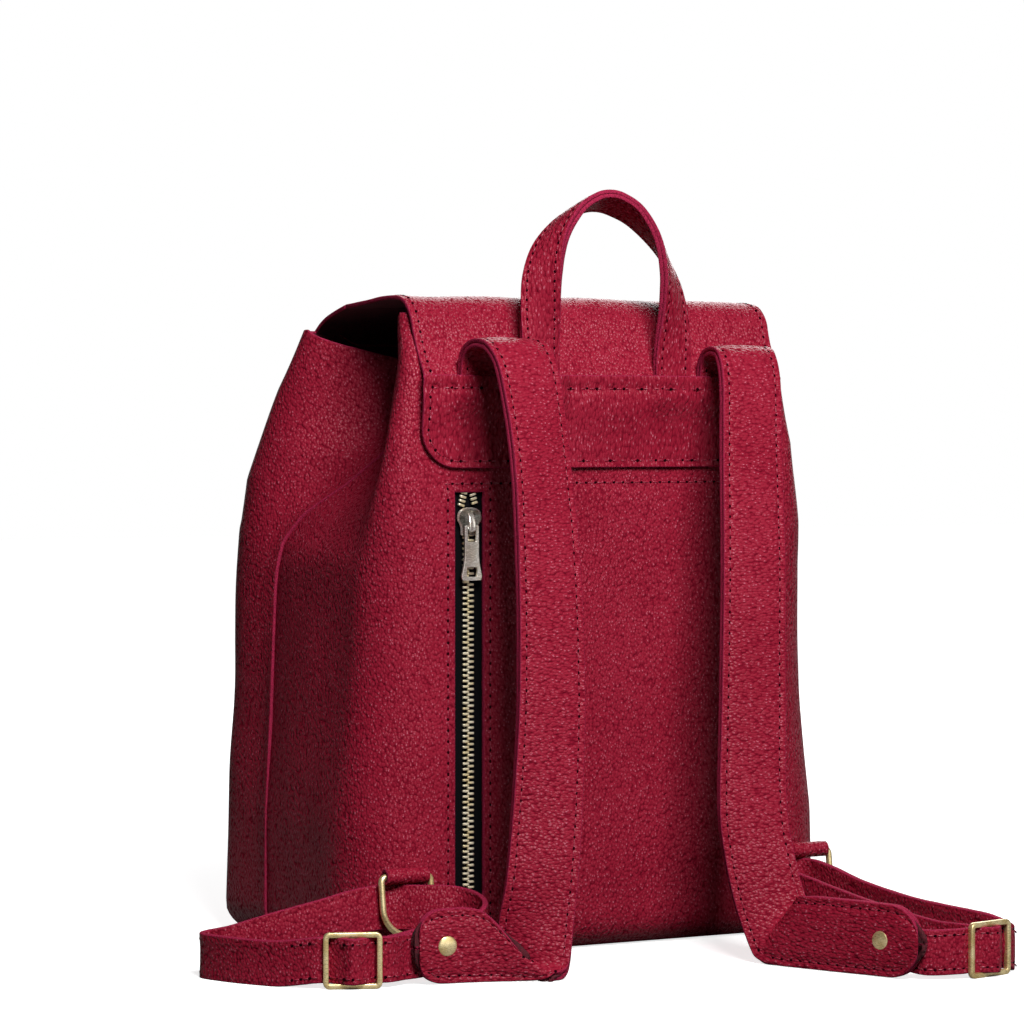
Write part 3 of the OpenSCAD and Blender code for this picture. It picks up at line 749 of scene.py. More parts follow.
def guide_mesh(name: str, points: Any, edges: list, attribute: str, vectors_at: Any) -> Any:
    """Makes the points that a node group works on.

    Args:
        name: the guide's name.
        points: places in millimetres.
        edges: pairs of point numbers.
        attribute: name of the vector kept at each point.
        vectors_at: that vector for each point.

    Returns:
        The linked guide.
    """
    mesh = bpy.data.meshes.new(name)
    mesh.from_pydata((np.array(points) * MM).tolist(), edges, [])
    kept = mesh.attributes.new(attribute, "FLOAT_VECTOR", "POINT")
    kept.data.foreach_set("vector", np.array(vectors_at, np.float32).ravel())
    return linked(name, mesh)


def set_inputs(modifier: Modifier, values: dict) -> None:
    """Sets a Geometry Nodes modifier's inputs by their sockets' identifiers."""
    for item in modifier.node_group.interface.items_tree:
        if getattr(item, "in_out", "") == "INPUT" and item.name in values:
            modifier[item.identifier] = values[item.name]


def bead(tree: NodeTree, rings: int, change: dict) -> Any:
    """A ball that is stretched and moved by the given inputs; gives the last node."""
    ball = put(tree, "GeometryNodeMeshUVSphere", {"Segments": 8, "Rings": rings, "Radius": 1.0})
    return put(tree, "GeometryNodeTransform", {0: ball, **change})


def stitch_tree() -> NodeTree:
    """Node group that sews a seam along edges: a thread and a needle hole every pitch."""
    sizes = ("Pitch", "Thread length", "Thread width", "Hole size")
    tree, given = node_group("sewn seam", sizes, ("Thread", "Hole"))
    curve = put(tree, "GeometryNodeMeshToCurve", {0: given["Geometry"]})
    spacing = {"Curve": curve, "Length": given["Pitch"]}
    spaced = put(tree, "GeometryNodeResampleCurve", spacing, mode="LENGTH")
    tangent = put(tree, "GeometryNodeInputTangent")
    up = put(tree, "GeometryNodeInputNamedAttribute", {"Name": "up"}, data_type="FLOAT_VECTOR")
    along = put(tree, "FunctionNodeAlignRotationToVector", {"Vector": tangent}, axis="X")
    turned = put(
        tree, "FunctionNodeAlignRotationToVector",
        {"Rotation": along, "Vector": up}, axis="Z", pivot_axis="X",
    )
    half_l = maths(tree, "MULTIPLY", given["Thread length"], 0.5)
    half_w = maths(tree, "MULTIPLY", given["Thread width"], 0.5)
    thread_size = put(tree, "ShaderNodeCombineXYZ", {0: half_l, 1: half_w, 2: half_w})
    thread = bead(tree, 6, {"Scale": thread_size})
    # The needle hole is a flattened dark bead: painted shade where the hole is.
    pit = {0: (0.5, 0.42, 0.16), "Scale": given["Hole size"]}
    hole_size = put(tree, "ShaderNodeVectorMath", pit, operation="SCALE")
    step = put(tree, "ShaderNodeCombineXYZ", {0: maths(tree, "MULTIPLY", given["Pitch"], 0.5)})
    hole = bead(tree, 5, {"Scale": hole_size, "Translation": step})
    placed = []
    for shape, slot in ((thread, "Thread"), (hole, "Hole")):
        spots = {"Points": spaced, "Instance": shape, "Rotation": turned}
        dots = put(tree, "GeometryNodeInstanceOnPoints", spots)
        solid = put(tree, "GeometryNodeRealizeInstances", {0: dots})
        coated = {"Geometry": solid, "Material": given[slot]}
        placed.append(put(tree, "GeometryNodeSetMaterial", coated))
    joined = put(tree, "GeometryNodeJoinGeometry")
    for shape in placed:
        tree.links.new(shape.outputs[0], joined.inputs[0])
    put(tree, "NodeGroupOutput", {0: joined})
    return tree


def tooth_tree() -> NodeTree:
    """Node group that clamps a zip tooth on each point, turned by its attribute."""
    tree, given = node_group("zip teeth", ("Length", "Height", "Depth"), ("Metal",))
    sides = {0: given["Length"], 1: given["Depth"], 2: given["Height"]}
    size = put(tree, "ShaderNodeCombineXYZ", sides)
    leg = put(tree, "GeometryNodeMeshCube", {"Size": (1.0, 1.0, 1.0)})
    soft = put(tree, "GeometryNodeSubdivisionSurface", {"Mesh": leg, "Level": 2, "Edge Crease": 0.55})
    leg = put(tree, "GeometryNodeTransform", {0: soft, "Scale": size})
    turn = put(tree, "GeometryNodeInputNamedAttribute", {"Name": "turn"}, data_type="FLOAT_VECTOR")
    rotation = put(tree, "FunctionNodeEulerToRotation", {0: turn})
    spots = {"Points": given["Geometry"], "Instance": leg, "Rotation": rotation}
    dots = put(tree, "GeometryNodeInstanceOnPoints", spots)
    solid = put(tree, "GeometryNodeRealizeInstances", {0: dots})
    shaded = put(tree, "GeometryNodeSetShadeSmooth", {0: solid})
    coated = {"Geometry": shaded, "Material": given["Metal"]}
    dressed = put(tree, "GeometryNodeSetMaterial", coated)
    put(tree, "NodeGroupOutput", {0: dressed})
    return tree


def bake_nodes(name: str, guide: Object, tree: NodeTree, values: dict) -> Object:
    """Runs a node group on a guide and keeps its result as a plain mesh.

    Args:
        name: the new piece's name.
        guide: the object that the group reads; it is deleted.
        tree: the node group.
        values: the group's inputs by name.

    Returns:
        The new object, with no modifier.
    """
    modifier = guide.modifiers.new("nodes", "NODES")
    modifier.node_group = tree
    set_inputs(modifier, values)
    mesh = taken_mesh(guide)
    mesh.polygons.foreach_set("use_smooth", [True] * len(mesh.polygons))
    return linked(name, mesh)


class Sewing:
    """Collects rows of stitches for one piece and sews them in one go."""

    def __init__(self, palette: Palette, tree: NodeTree) -> None:
        """Keeps the palette and the seam's node group."""
        self.palette = palette
        self.tree = tree
        self.points: list = []
        self.ups: list = []
        self.edges: list = []

    def row(self, path: Array, up: Array, sink: float = 0.02) -> None:
        """Adds a row of stitches.

        Args:
            path: points on the leather's surface, in order.
            up: the surface's normal at each point.
            sink: how far the thread's middle lies below the surface.
        """
        start = len(self.points)
        self.points.extend((path - up * sink).tolist())
        self.ups.extend(up.tolist())
        self.edges.extend((start + k, start + k + 1) for k in range(len(path) - 1))

    def sew(self, name: str, pitch: float = THREAD_PITCH, thread_w: float = 0.85) -> Object:
        """Makes the stitches of every row added so far.

        Args:
            name: the piece's name.
            pitch: distance from one needle hole to the next.
            thread_w: width of the thread.

        Returns:
            The stitches as one plain mesh.
        """
        guide = guide_mesh(name + "_guide", self.points, self.edges, "up", self.ups)
        values = {
            "Pitch": pitch * MM, "Thread length": pitch * 0.7 * MM, "Thread width": thread_w * MM,
            "Hole size": 1.65 * MM, "Thread": self.palette.thread, "Hole": self.palette.hole,
        }
        self.points, self.ups, self.edges = [], [], []
        return bake_nodes(name, guide, self.tree, values)


def finish_piece(obj: Object, body: str, slot: str, *nodes: str) -> Object:
    """Attaches a piece to the body it rides on and hides the CAD nodes that it replaces.

    Args:
        obj: the piece.
        body: the body that it rides on.
        slot: not used.
        *nodes: the CAD nodes that it replaces.

    Returns:
        The piece.
    """
    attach(obj, body)
    if nodes:
        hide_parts(*nodes)
    LOG.info("%s rides on %s", obj.name, body)
    return obj


@dataclass(frozen=True)
class Fold:
    """Where leather bends between two bodies, from one point to the other."""

    near: str
    far: str
    start: tuple
    end: tuple

    def finish(self, obj: Object, *nodes: str) -> None:
        """Bakes a leather piece's placement into its mesh and hides the nodes that it replaces."""
        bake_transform(obj)
        if nodes:
            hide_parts(*nodes)


FLAP_BACK_FOLD = Fold("bag", "flap", (0, 0.068, 0.283), (0, 0.052, 0.302))
FLAP_FRONT_FOLD = Fold("flap", "flap_front", (0, -0.033, 0.297), (0, -0.052, 0.281))
HANDLE_FOLD = Fold("bag", "handle", (0, 0.078, 0.271), (0, 0.078, 0.281))


@dataclass
class Leatherwork:
    """A sub-assembly cut from the palette's hides and sewn with its thread."""

    palette: Palette
    sewing: Sewing


# ---- body ----


@dataclass
class BodyShell(Leatherwork):
    """The gusseted body: back half with the zip window, front half, and base."""

    half_w: float = 129.0
    depth: float = 150.0
    top: float = 286.0
    leather_t: float = 2.0
    base_edge: float = 16.0
    fold_depth: float = 44.0
    seam_step: float = 1.2
    fold_start: float = 198.0
    zip_x: float = 73.0
    zip_half: float = 7.8
    zip_low: float = 29.0
    zip_high: float = 216.0
    pocket_top: float = 219.5
    row_step: float = 3.2
    back_half: tuple = ((0, 0), (60, -1), (110, -6), (180, -10), (235, -18), (260, -24), (292, -32))
    front_half: tuple = ((0, 3), (115, 2), (196, -1), (220, -4), (260, -15), (292, -24))
    depth_loss: tuple = ((0, 0), (196, 0), (220, 4), (260, 19), (292, 37))
    back_lean: tuple = ((0, 0), (264, 0), (270, 2), (275, 4.8), (280, 8.5), (286, 11.5), (292, 13))
    back_radius: tuple = ((0, 32), (120, 32), (180, 26), (200, 18), (235, 9), (292, 6))
    front_radius: tuple = ((0, 12), (115, 20), (200, 24), (292, 12))
    fold_share: tuple = (
        (0, 0), (178, 0), (190, 0.03), (205, 0.17), (220, 0.47), (235, 0.68), (250, 0.9), (292, 1)
    )
    fold_pinch: tuple = ((0, 0), (185, 0), (205, 5), (220, 8), (235, 6), (250, 2), (262, 0), (292, 0))
    seam_depth: tuple = ((0, 99), (170, 100), (192, 98), (205, 90), (220, 76), (235, 66), (292, 61))
    panel: Optional[Array] = None
    back_corner: float = 298.0
    seam_top: float = 272.0
    front_corner: float = 292.0

    def spans(self, z: float, inset: float) -> tuple[Any, Any, Any]:
        """Half widths of the back and the front at a height, and the side seam's x."""
        back = self.half_w + lookup(z, self.back_half) - inset
        front = self.half_w + lookup(z, self.front_half) - inset
        return back, front, (back + front) / 2 - self.fold_depth * lookup(z, self.fold_share)

    def back_outline(self, z: float, inset: float) -> tuple[Array, Array]:
        """Outline of the back half's +X side at one height.

        Args:
            z: the height that the tables are read at.
            inset: distance inside the true outline.

        Returns:
            Points from the middle of the back to the seam, and the height of the bag's
            top edge above each point.
        """
        wb, _, xs = self.spans(z, inset)
        yb = BACK_Y - lookup(z, self.back_lean) - inset
        rb = max(float(lookup(z, self.back_radius)) - inset, 2.0)
        ys = BACK_Y - lookup(z, self.seam_depth)
        low, high = self.zip_x - self.zip_half, self.zip_x + self.zip_half
        flat = np.concatenate(
            [np.linspace(0, low, 22)[:-1], np.linspace(low, high, 6)[:-1], np.linspace(high, wb - rb, 6)]
        )
        turn = np.radians(np.linspace(0, 90, 12)[1:])
        side = np.linspace(0, 1, 17)[1:]
        pinch = lookup(z, self.fold_pinch) * np.sin(np.pi * side)
        x = [flat, wb - rb + rb * np.sin(turn), wb + (xs - wb) * ease(side) - pinch]
        y = [0 * flat + yb, yb - rb + rb * np.cos(turn), yb - rb + (ys - yb + rb) * side]
        rise = self.back_corner - self.top
        corner = self.top + rise * np.concatenate([ease((flat - 84) / 10), 1 + 0 * turn])
        fall = self.back_corner + (self.seam_top - self.back_corner) * side
        return np.stack([np.concatenate(x), np.concatenate(y)], axis=1), np.concatenate([corner, fall])

    def front_outline(self, z: float, inset: float) -> tuple[Array, Array]:
        """Outline of the front half's +X side, from the seam to the middle of the front.

        Args:
            z: the height that the tables are read at.
            inset: distance inside the true outline.

        Returns:
            The same as back_outline, for the front.
        """
        _, wf, xs = self.spans(z, inset)
        yf = BACK_Y - self.depth + lookup(z, self.depth_loss) + inset
        rf = max(float(lookup(z, self.front_radius)) - inset, 2.0)
        ys = BACK_Y - lookup(z, self.seam_depth) - 0.3
        side = np.linspace(0, 1, 12)
        turn = np.radians(np.linspace(90, 0, 10)[1:])
        flat = np.linspace(1, 0, 30)[1:]
        x = [xs + (wf - xs) * ease(side), wf - rf + rf * np.sin(turn), (wf - rf) * flat]
        y = [ys + (yf + rf - ys) * side, yf + rf - rf * np.cos(turn), 0 * flat + yf]
        climb = self.seam_top + (self.front_corner - self.seam_top) * side**1.1
        across = (wf - rf) * flat
        level = self.top + (self.front_corner - self.top) * ease((across - 72) / 16)
        tops = np.concatenate([climb, 0 * turn + self.front_corner, level])
        return np.stack([np.concatenate(x), np.concatenate(y)], axis=1), tops

    def levels(self) -> list:
        """Rows of the shell as (height, inset on the rounded base edge)."""
        r = self.base_edge
        rows = [(r * (1 - cos(a)), r * (1 - sin(a))) for a in np.radians(np.linspace(0, 72, 8))]
        stops = [self.base_edge, self.zip_low, self.zip_high, self.top]
        for low, high in zip(stops[:-1], stops[1:]):
            count = max(2, round((high - low) / self.row_step))
            start = 0 if low == stops[0] else 1
            rows.extend((z, 0.0) for z in np.linspace(low, high, count + 1)[start:])
        return rows

    def loft(self, outline: Callable, grow: float) -> Array:
        """Grid of one half: rows up the bag, columns right round from side to side.

        Args:
            outline: back_outline or front_outline.
            grow: how far the half stands proud.

        Returns:
            Points of the half.
        """
        rows = []
        for z, inset in self.levels():
            half, tops = outline(z if z >= self.base_edge else 0.0, inset - grow)
            share = max(0.0, z - self.fold_start) / (self.top - self.fold_start)
            extra = (tops - self.top) * share**1.6
            right = np.column_stack([half, z + extra])
            right[:, 1] -= np.clip(extra, 0, None) * 0.3 * np.sign(half[:, 1])
            left = right * (-1, 1, 1)
            if half[0, 0] > 1:
                rows.append(np.concatenate([right, left[-2::-1]]))
            else:
                rows.append(np.concatenate([right[::-1], left[1:]]))
        return pressed(np.array(rows))

    def soften(self, grid: Array, hold: Array, seed: float) -> Array:
        """Lets the leather sag: low broad waves, deeper where nothing holds it.

        Args:
            grid: the half's points.
            hold: 0 where the leather is held, up to 1.
            seed: picks the waves.

        Returns:
            The moved points.
        """
        normal = grid_normals(grid)
        broad = wave(grid, 62.0, seed)
        small = wave(grid * (1, 1, 0.55), 21.0, seed + 5)
        lift = 1.7 * broad + 0.45 * small
        return grid + normal * (lift * hold)[..., None]

    def back(self) -> Object:
        """The back half, with its zip window and sewn pocket lines."""
        grid = self.loft(self.back_outline, 0.0)
        x, z = grid[..., 0], grid[..., 2]
        zip_near = bell(x, self.zip_x, 26) * (z < self.zip_high + 12)
        hold = np.clip((z - 4) / 30, 0, 1) * (1 - 0.9 * zip_near) * (1 - 0.8 * (z > 222))
        hold = hold * np.clip((np.abs(x - self.zip_x) - 6) / 20, 0.05, 1)
        grid = self.soften(grid, hold, 4.0)
        grid[..., 1] -= 0.6 * bell(z, self.pocket_top, 1.7) * (np.abs(x) < 92)
        for side in (-1, 1):
            line = self.zip_x + side * (self.zip_half + 3.2)
            grid[..., 1] -= 0.4 * bell(x, line, 1.8) * (z < self.pocket_top) * (grid[..., 1] > 60)
        low, high = self.zip_x - self.zip_half, self.zip_x + self.zip_half
        self.panel = grid

        def in_window(i: int, j: int) -> bool:
            """Whether a cell lies in the zip window."""
            cell = grid[i : i + 2, j : j + 2]
            cx, cz = cell[..., 0].mean(), cell[..., 2].mean()
            flat = cell[..., 1].mean() > BACK_Y - 12
            return low < cx < high and self.zip_low < cz < self.zip_high and flat

        faces = grid_faces(*grid.shape[:2], in_window)
        outward = facing(grid, len(grid) // 2)
        obj = leather("back_shell", grid, self.leather_t, self.palette.hide, outward, faces)
        return finish_piece(obj, "bag", "leather", "back_panel")

    def front(self) -> Object:
        """The front half, whose edges stand a little proud along the side seams."""
        grid = self.loft(self.front_outline, self.seam_step)
        z = grid[..., 2]
        edge = np.zeros(grid.shape[:2])
        edge[:, [0, -1]] = 1.0
        edge[:, [1, -2]] = 0.55
        hold = np.clip((z - 4) / 30, 0, 1) * (1 - edge)
        grid = self.soften(grid, hold, 9.0)
        outward = facing(grid, len(grid) // 2)
        obj = leather("front_shell", grid, self.leather_t, self.palette.hide, outward)
        return finish_piece(obj, "bag", "leather", "front_panel")

    def base(self) -> Object:
        """The flat base, a panel with its own rounded outline."""
        back, _ = self.back_outline(0.0, self.base_edge + 0.3)
        front, _ = self.front_outline(0.0, self.base_edge + 0.3)
        half = np.concatenate([back, front[1:]])
        outline = np.concatenate([half, half[-2:0:-1] * (-1, 1)])
        shares = np.linspace(1, 0.04, 9)
        grid = np.array([np.column_stack([outline * s, 0 * outline[:, 0]]) for s in shares])
        points = grid.reshape(-1, 3)
        faces = hoop_faces(*grid.shape[:2])
        a, b, c, _ = (points[k] for k in faces[0])
        down = 1.0 if np.cross(b - a, c - a)[2] < 0 else -1.0
        obj = leather("base_sheet", points, self.leather_t, self.palette.hide, down, faces)
        return finish_piece(obj, "bag", "leather", "base_panel")

    def panel_y(self, x: Array, z: Array) -> Array:
        """Depth of the soft back panel at points of its flat part."""
        found = []
        level = self.panel[:, self.panel.shape[1] // 2, 2]
        for px, pz in zip(x, z):
            at = np.interp(pz, level, np.arange(len(level)))
            low = int(min(at, len(level) - 2))
            pair = [
                np.interp(px, *zip(*sorted(map(tuple, row[np.abs(row[:, 0]) < 95][:, :2]))))
                for row in self.panel[low : low + 2]
            ]
            found.append(pair[0] + (pair[1] - pair[0]) * (at - low))
        return np.array(found)

    def seams(self) -> Object:
        """Stitches down both sides of the zip and across the top of the pocket, above the zip."""
        up = np.tile([0.0, 1.0, 0.0], (90, 1))
        x = np.linspace(self.zip_x + self.zip_half + 3.2, -90, 90)
        z = np.linspace(self.pocket_top, self.zip_low - 6, 90)
        lines = [(x, 0 * x + self.pocket_top)]
        lines += [(0 * z + self.zip_x + side * (self.zip_half + 3.2), z) for side in (-1, 1)]
        for line_x, line_z in lines:
            path = np.column_stack([line_x, self.panel_y(line_x, line_z), line_z])
            self.sewing.row(path, up, 0.05)
        stitches = self.sewing.sew("pocket_stitches")
        return finish_piece(stitches, "bag", "leather")

    def build(self) -> None:
        """Makes every piece of the body."""
        self.back()
        self.front()
        self.base()
        self.seams()


# ---- yoke ----


def corner_w(half: float, low: float, r: float, z: float) -> float:
    """Half width at height z of a panel with rounded lower corners."""
    if z >= low + r:
        return half
    return half - r + sqrt(max(0.0, r * r - (low + r - z) ** 2))


@dataclass
class Yoke(Leatherwork):
    """The stitched panel that holds the flap's tail and the roots of handle and straps."""

    half_w: float = 97.0
    low: float = 227.0
    top: float = 269.0
    corner: float = 18.0
    seam_inset: float = 2.8
    leather_t: float = 2.0
    roots: tuple = ((37.5, 12.0, 3.1), (64.0, 19.0, 3.4), (-33.5, 12.0, 3.1), (-64.0, 19.0, 3.4))

    def lift(self, x: Array, z: Array) -> Array:
        """Height of the yoke's outer face above the back panel."""
        base = 0.4 + 2.3 * ease((z - self.low - 9) / 22) + self.leather_t
        bulge = 0 * x
        for centre, half, rise in self.roots:
            side = ease((half + 5 - np.abs(x - centre)) / 8)
            bulge = np.maximum(bulge, rise * side * ease((z - 247) / 17))
        return base + bulge

    def surface_point(self, x: Array, z: Array) -> Array:
        """Points on the yoke's outer face, with its puckers."""
        y = BACK_Y + self.lift(x, z)
        flat = np.stack([x, 0 * x, z], axis=-1)
        sag = 0.4 * wave(flat, 26.0, 2.0) + 0.25 * wave(flat, 9.0, 6.0)
        pull = bell(z, self.top - 5.6, 2.0) + 0.7 * bell(z, self.low + 2.8, 1.5)
        pucker = pull * (0.75 + 0.4 * np.cos(x * 2 * np.pi / 7.6 + 1.2 * wave(flat, 30, 1.0)))
        wider = x + 1.3 * np.clip(x / self.half_w, 0, 1)
        return pressed(np.stack([wider, y + sag - pucker, z], axis=-1))

    def outline(self, inset: float, step: float = 1.2) -> Array:
        """The whole outline inset by a distance, starting and ending at the top left."""
        half, low, top = self.half_w - inset, self.low + inset, self.top - inset * 2.0
        r = max(self.corner - inset, 1.0)
        turn = np.radians(np.arange(0, 91, 6))
        left = np.column_stack([-half + r - r * np.cos(turn), low + r - r * np.sin(turn)])
        right = np.column_stack([half - r + r * np.sin(turn), low + r - r * np.cos(turn)])
        corners = np.concatenate([[[-half, top]], left, right, [[half, top], [-half, top]]])
        return evenly(corners, step)

    def build(self) -> None:
        """Makes the panel and the stitches round it."""
        bend = self.low + self.corner * (1 - np.cos(np.radians(np.linspace(0, 90, 10))))
        rows = []
        for z in (*bend, *np.linspace(self.low + self.corner, self.top, 20)[1:]):
            w = corner_w(self.half_w, self.low, self.corner, z)
            x = np.linspace(-w, w, 150)
            wander = 0.5 * wave(np.column_stack([x, 0 * x, 0 * x]), 34.0, 8.0)
            rise = np.clip((z - self.top + 12) / 12, 0, 1)
            rows.append(self.surface_point(x, z + wander * rise))
        grid = np.array(rows)
        outward = facing(grid, len(rows) // 2)
        obj = leather("yoke_panel", grid, self.leather_t, self.palette.pulled, outward)
        finish_piece(obj, "bag", "leather", "yoke")
        line = self.outline(self.seam_inset)
        x, z = line[:, 0], line[:, 1]
        here = self.surface_point(x, z)
        dz = self.surface_point(x, z + 0.8) - here
        dx = self.surface_point(x + 0.8, z) - here
        self.sewing.row(here, unit(np.cross(dz, dx)))
        finish_piece(self.sewing.sew("yoke_stitches"), "bag", "leather")


# ---- flap ----


@dataclass
class Flap(Leatherwork):
    """The fold-over flap: one sheet from under the yoke, over the mouth, down the front."""

    half_w: float = 97.0
    end_z: float = 140.0
    corner: float = 34.0
    leather_t: float = 2.0
    front_y: float = 158.4
    seam_inset: float = 3.0
    step: float = 2.6
    back_route: tuple = (
        (-3.0, 258.5), (-2.9, 264), (-2.7, 268), (-0.9, 272), (2.4, 277.6), (6.0, 284),
        (8.9, 290), (12.0, 297.4), (18.4, 303.8), (27, 306.3), (40, 306.5), (57, 305.5), (80, 304),
    )
    front_route: tuple = (
        (80, 304), (99, 299.5), (108, 296), (115.4, 291.4), (122.5, 286), (128.8, 277),
        (136.8, 261), (144.2, 246), (150.7, 230), (155, 214), (157.8, 196), (158.4, 185),
        (158.4, 160), (158.4, 140),
    )

    def width_at(self, z: float) -> float:
        """Half width of the hanging part at height z."""
        return corner_w(self.half_w, self.end_z, self.corner, z)

    def sheet(self, route: tuple, hangs: bool) -> Array:
        """Grid of the flap's outer face along one part of the profile.

        Args:
            route: the profile, as (distance in front of the back, height).
            hangs: whether this part ends in the flap's two round corners.

        Returns:
            Points, with a row for each step along the profile.
        """
        points = evenly(smooth_route(route, 12), self.step, 1)
        wide = np.full(len(points), self.half_w)
        if hangs:
            turn = self.end_z + self.corner * (1 - np.cos(np.radians(np.linspace(90, 0, 14))))
            keep = points[:, 1] > self.end_z + self.corner + 1
            lower = np.column_stack([0 * turn + self.front_y, turn])
            points = np.concatenate([points[keep], lower])
            wide = np.array([self.width_at(z) for z in points[:, 1]])
        x = np.linspace(1, -1, 84)[None, :] * wide[:, None]
        return np.stack([x, BACK_Y - points[:, :1] + 0 * x, points[:, 1:] + 0 * x], axis=-1)

    def relax(self, grid: Array) -> Array:
        """Lets the flap give way with the bag's side, and ripple a little."""
        z = grid[..., 2]
        grid = pressed(grid)
        normal = grid_normals(grid)
        free = np.clip((z - 268) / 14, 0, 1) * np.clip((z - 150) / 30, 0.1, 1)
        crease = np.clip(np.abs(z - 291) / 10, 0.3, 1)
        ripple = 1.3 * wave(grid, 48.0, 12.0) + 0.45 * wave(grid, 17.0, 15.0)
        return grid + normal * (ripple * free * crease)[..., None]

    def part(self, name: str, grid: Array) -> Object:
        """One closed sheet of the flap."""
        outward = outward_sign(grid, 0, 40, grid[0, 40] - (0, 0, 200.0))
        return leather(name, grid, self.leather_t, self.palette.hide, outward)

    def build(self) -> None:
        """Makes both parts of the flap and the stitches along its free edges."""
        back = self.relax(self.sheet(self.back_route, False))
        front = self.relax(self.sheet(self.front_route, True))
        FLAP_BACK_FOLD.finish(self.part("flap_top", back), "flap_root", "flap")
        FLAP_FRONT_FOLD.finish(self.part("flap_fall", front), "flap_front")
        self.edge_stitches(back, "flap_top", FLAP_BACK_FOLD)
        self.edge_stitches(front, "flap_fall", FLAP_FRONT_FOLD)

    def edge_stitches(self, grid: Array, name: str, fold: Fold) -> None:
        """Sews a row of stitches inside both long edges of one part.

        Args:
            grid: the part's outer face.
            name: the part's name.
            fold: where the part bends.
        """
        normal = grid_normals(grid)
        mid = grid.shape[1] // 2
        if normal[0, mid] @ (grid[0, mid] - (0, 0, 200.0)) < 0:
            normal = -normal
        for way in (1, -1):
            path, ups = [], []
            for i in range(len(grid)):
                place = (1 - self.seam_inset / max(abs(grid[i, 0, 0]), 20)) * way
                at = (1 - place) / 2 * (grid.shape[1] - 1)
                j = int(min(max(at, 0), grid.shape[1] - 2))
                t = at - j
                path.append(grid[i, j] * (1 - t) + grid[i, j + 1] * t)
                ups.append(normal[i, j])
            self.sewing.row(np.array(path), np.array(ups))
        fold.finish(self.sewing.sew(name + "_stitches"))


# ---- bands ----


@dataclass
class Band:
    """A leather band along stations of (centre, half-width vector).

    Attributes:
        route: stations as an array of shape (n, 2, 3).
        columns: places across the band, from 1 at one edge to -1 at the other.
        crown: rise of the middle of each face.
        dent: depth of the furrow under a row of stitches.
        seam: place of the stitches across the band; 0 for none.
    """

    route: Array
    columns: tuple = (1, 0.95, 0.89, 0.83, 0.77, 0.7, 0.5, 0.25, 0,
                      -0.25, -0.5, -0.7, -0.77, -0.83, -0.89, -0.95, -1)
    crown: float = 0.45
    dent: float = 0.4
    seam: float = 0.83
    wobble: float = 0.25

    def normals(self) -> Array:
        """The band's unit normal at each station."""
        centre, half = self.route[:, 0], self.route[:, 1]
        run = centre.copy()
        run[1:-1] = centre[2:] - centre[:-2]
        run[0] = centre[1] - centre[0]
        run[-1] = centre[-1] - centre[-2]
        return unit(np.cross(run, half))

    def profile(self, u: Array) -> Array:
        """Height of the face above flat across the band."""
        rise = self.crown * (1 - u**2)
        if self.seam:
            rise = rise - self.dent * np.exp(-(((np.abs(u) - self.seam) / 0.06) ** 2))
        return rise

    def face(self, u: Array, level: float, side: float) -> Array:
        """Grid of the face that looks along side (1 or -1) times the normal.

        Args:
            u: places across the band.
            level: the face's offset along the normal.
            side: 1 or -1.

        Returns:
            Points of shape (stations, places, 3).
        """
        centre, half = self.route[:, 0], self.route[:, 1]
        normal = self.normals()
        off = level + side * self.profile(u)
        grid = (centre[:, None] + half[:, None] * u[None, :, None] + normal[:, None] * off[None, :, None])
        sway = self.wobble * (wave(grid, 23.0, 4.0) + 0.5 * wave(grid, 8.0, 9.0))
        return grid + normal[:, None] * sway[..., None]

    def layer(self, name: str, low: float, high: float, side: float, hide: Hide) -> Object:
        """A closed layer of the band whose grain is on the given side.

        Args:
            name: the piece's name.
            low: the layer's lower face along the normal.
            high: its upper face.
            side: 1 or -1, where the grain is.
            hide: its leather.

        Returns:
            The linked object.
        """
        grid = self.face(np.array(self.columns), high if side > 0 else low, side)
        outward = outward_sign(grid, 0, 8, self.normals()[0] * side)
        return leather(name, grid, high - low, hide, outward)

    def stitch_rows(self, level: float, side: float, part: slice = slice(None)) -> list:
        """Paths of stitches down both edges, as (points, normals)."""
        grid = self.face(np.array([self.seam, -self.seam]), side * level, side)
        normal = self.normals() * side
        return [(grid[part, k], normal[part]) for k in (0, 1)]


def mirrored(stations: Sequence[Station]) -> list:
    """Stations mirrored to -x, each half-width vector turned so the normal keeps its side."""
    return [((-c[0], c[1], c[2]), (-u[0], u[1], u[2])) for c, u in stations]


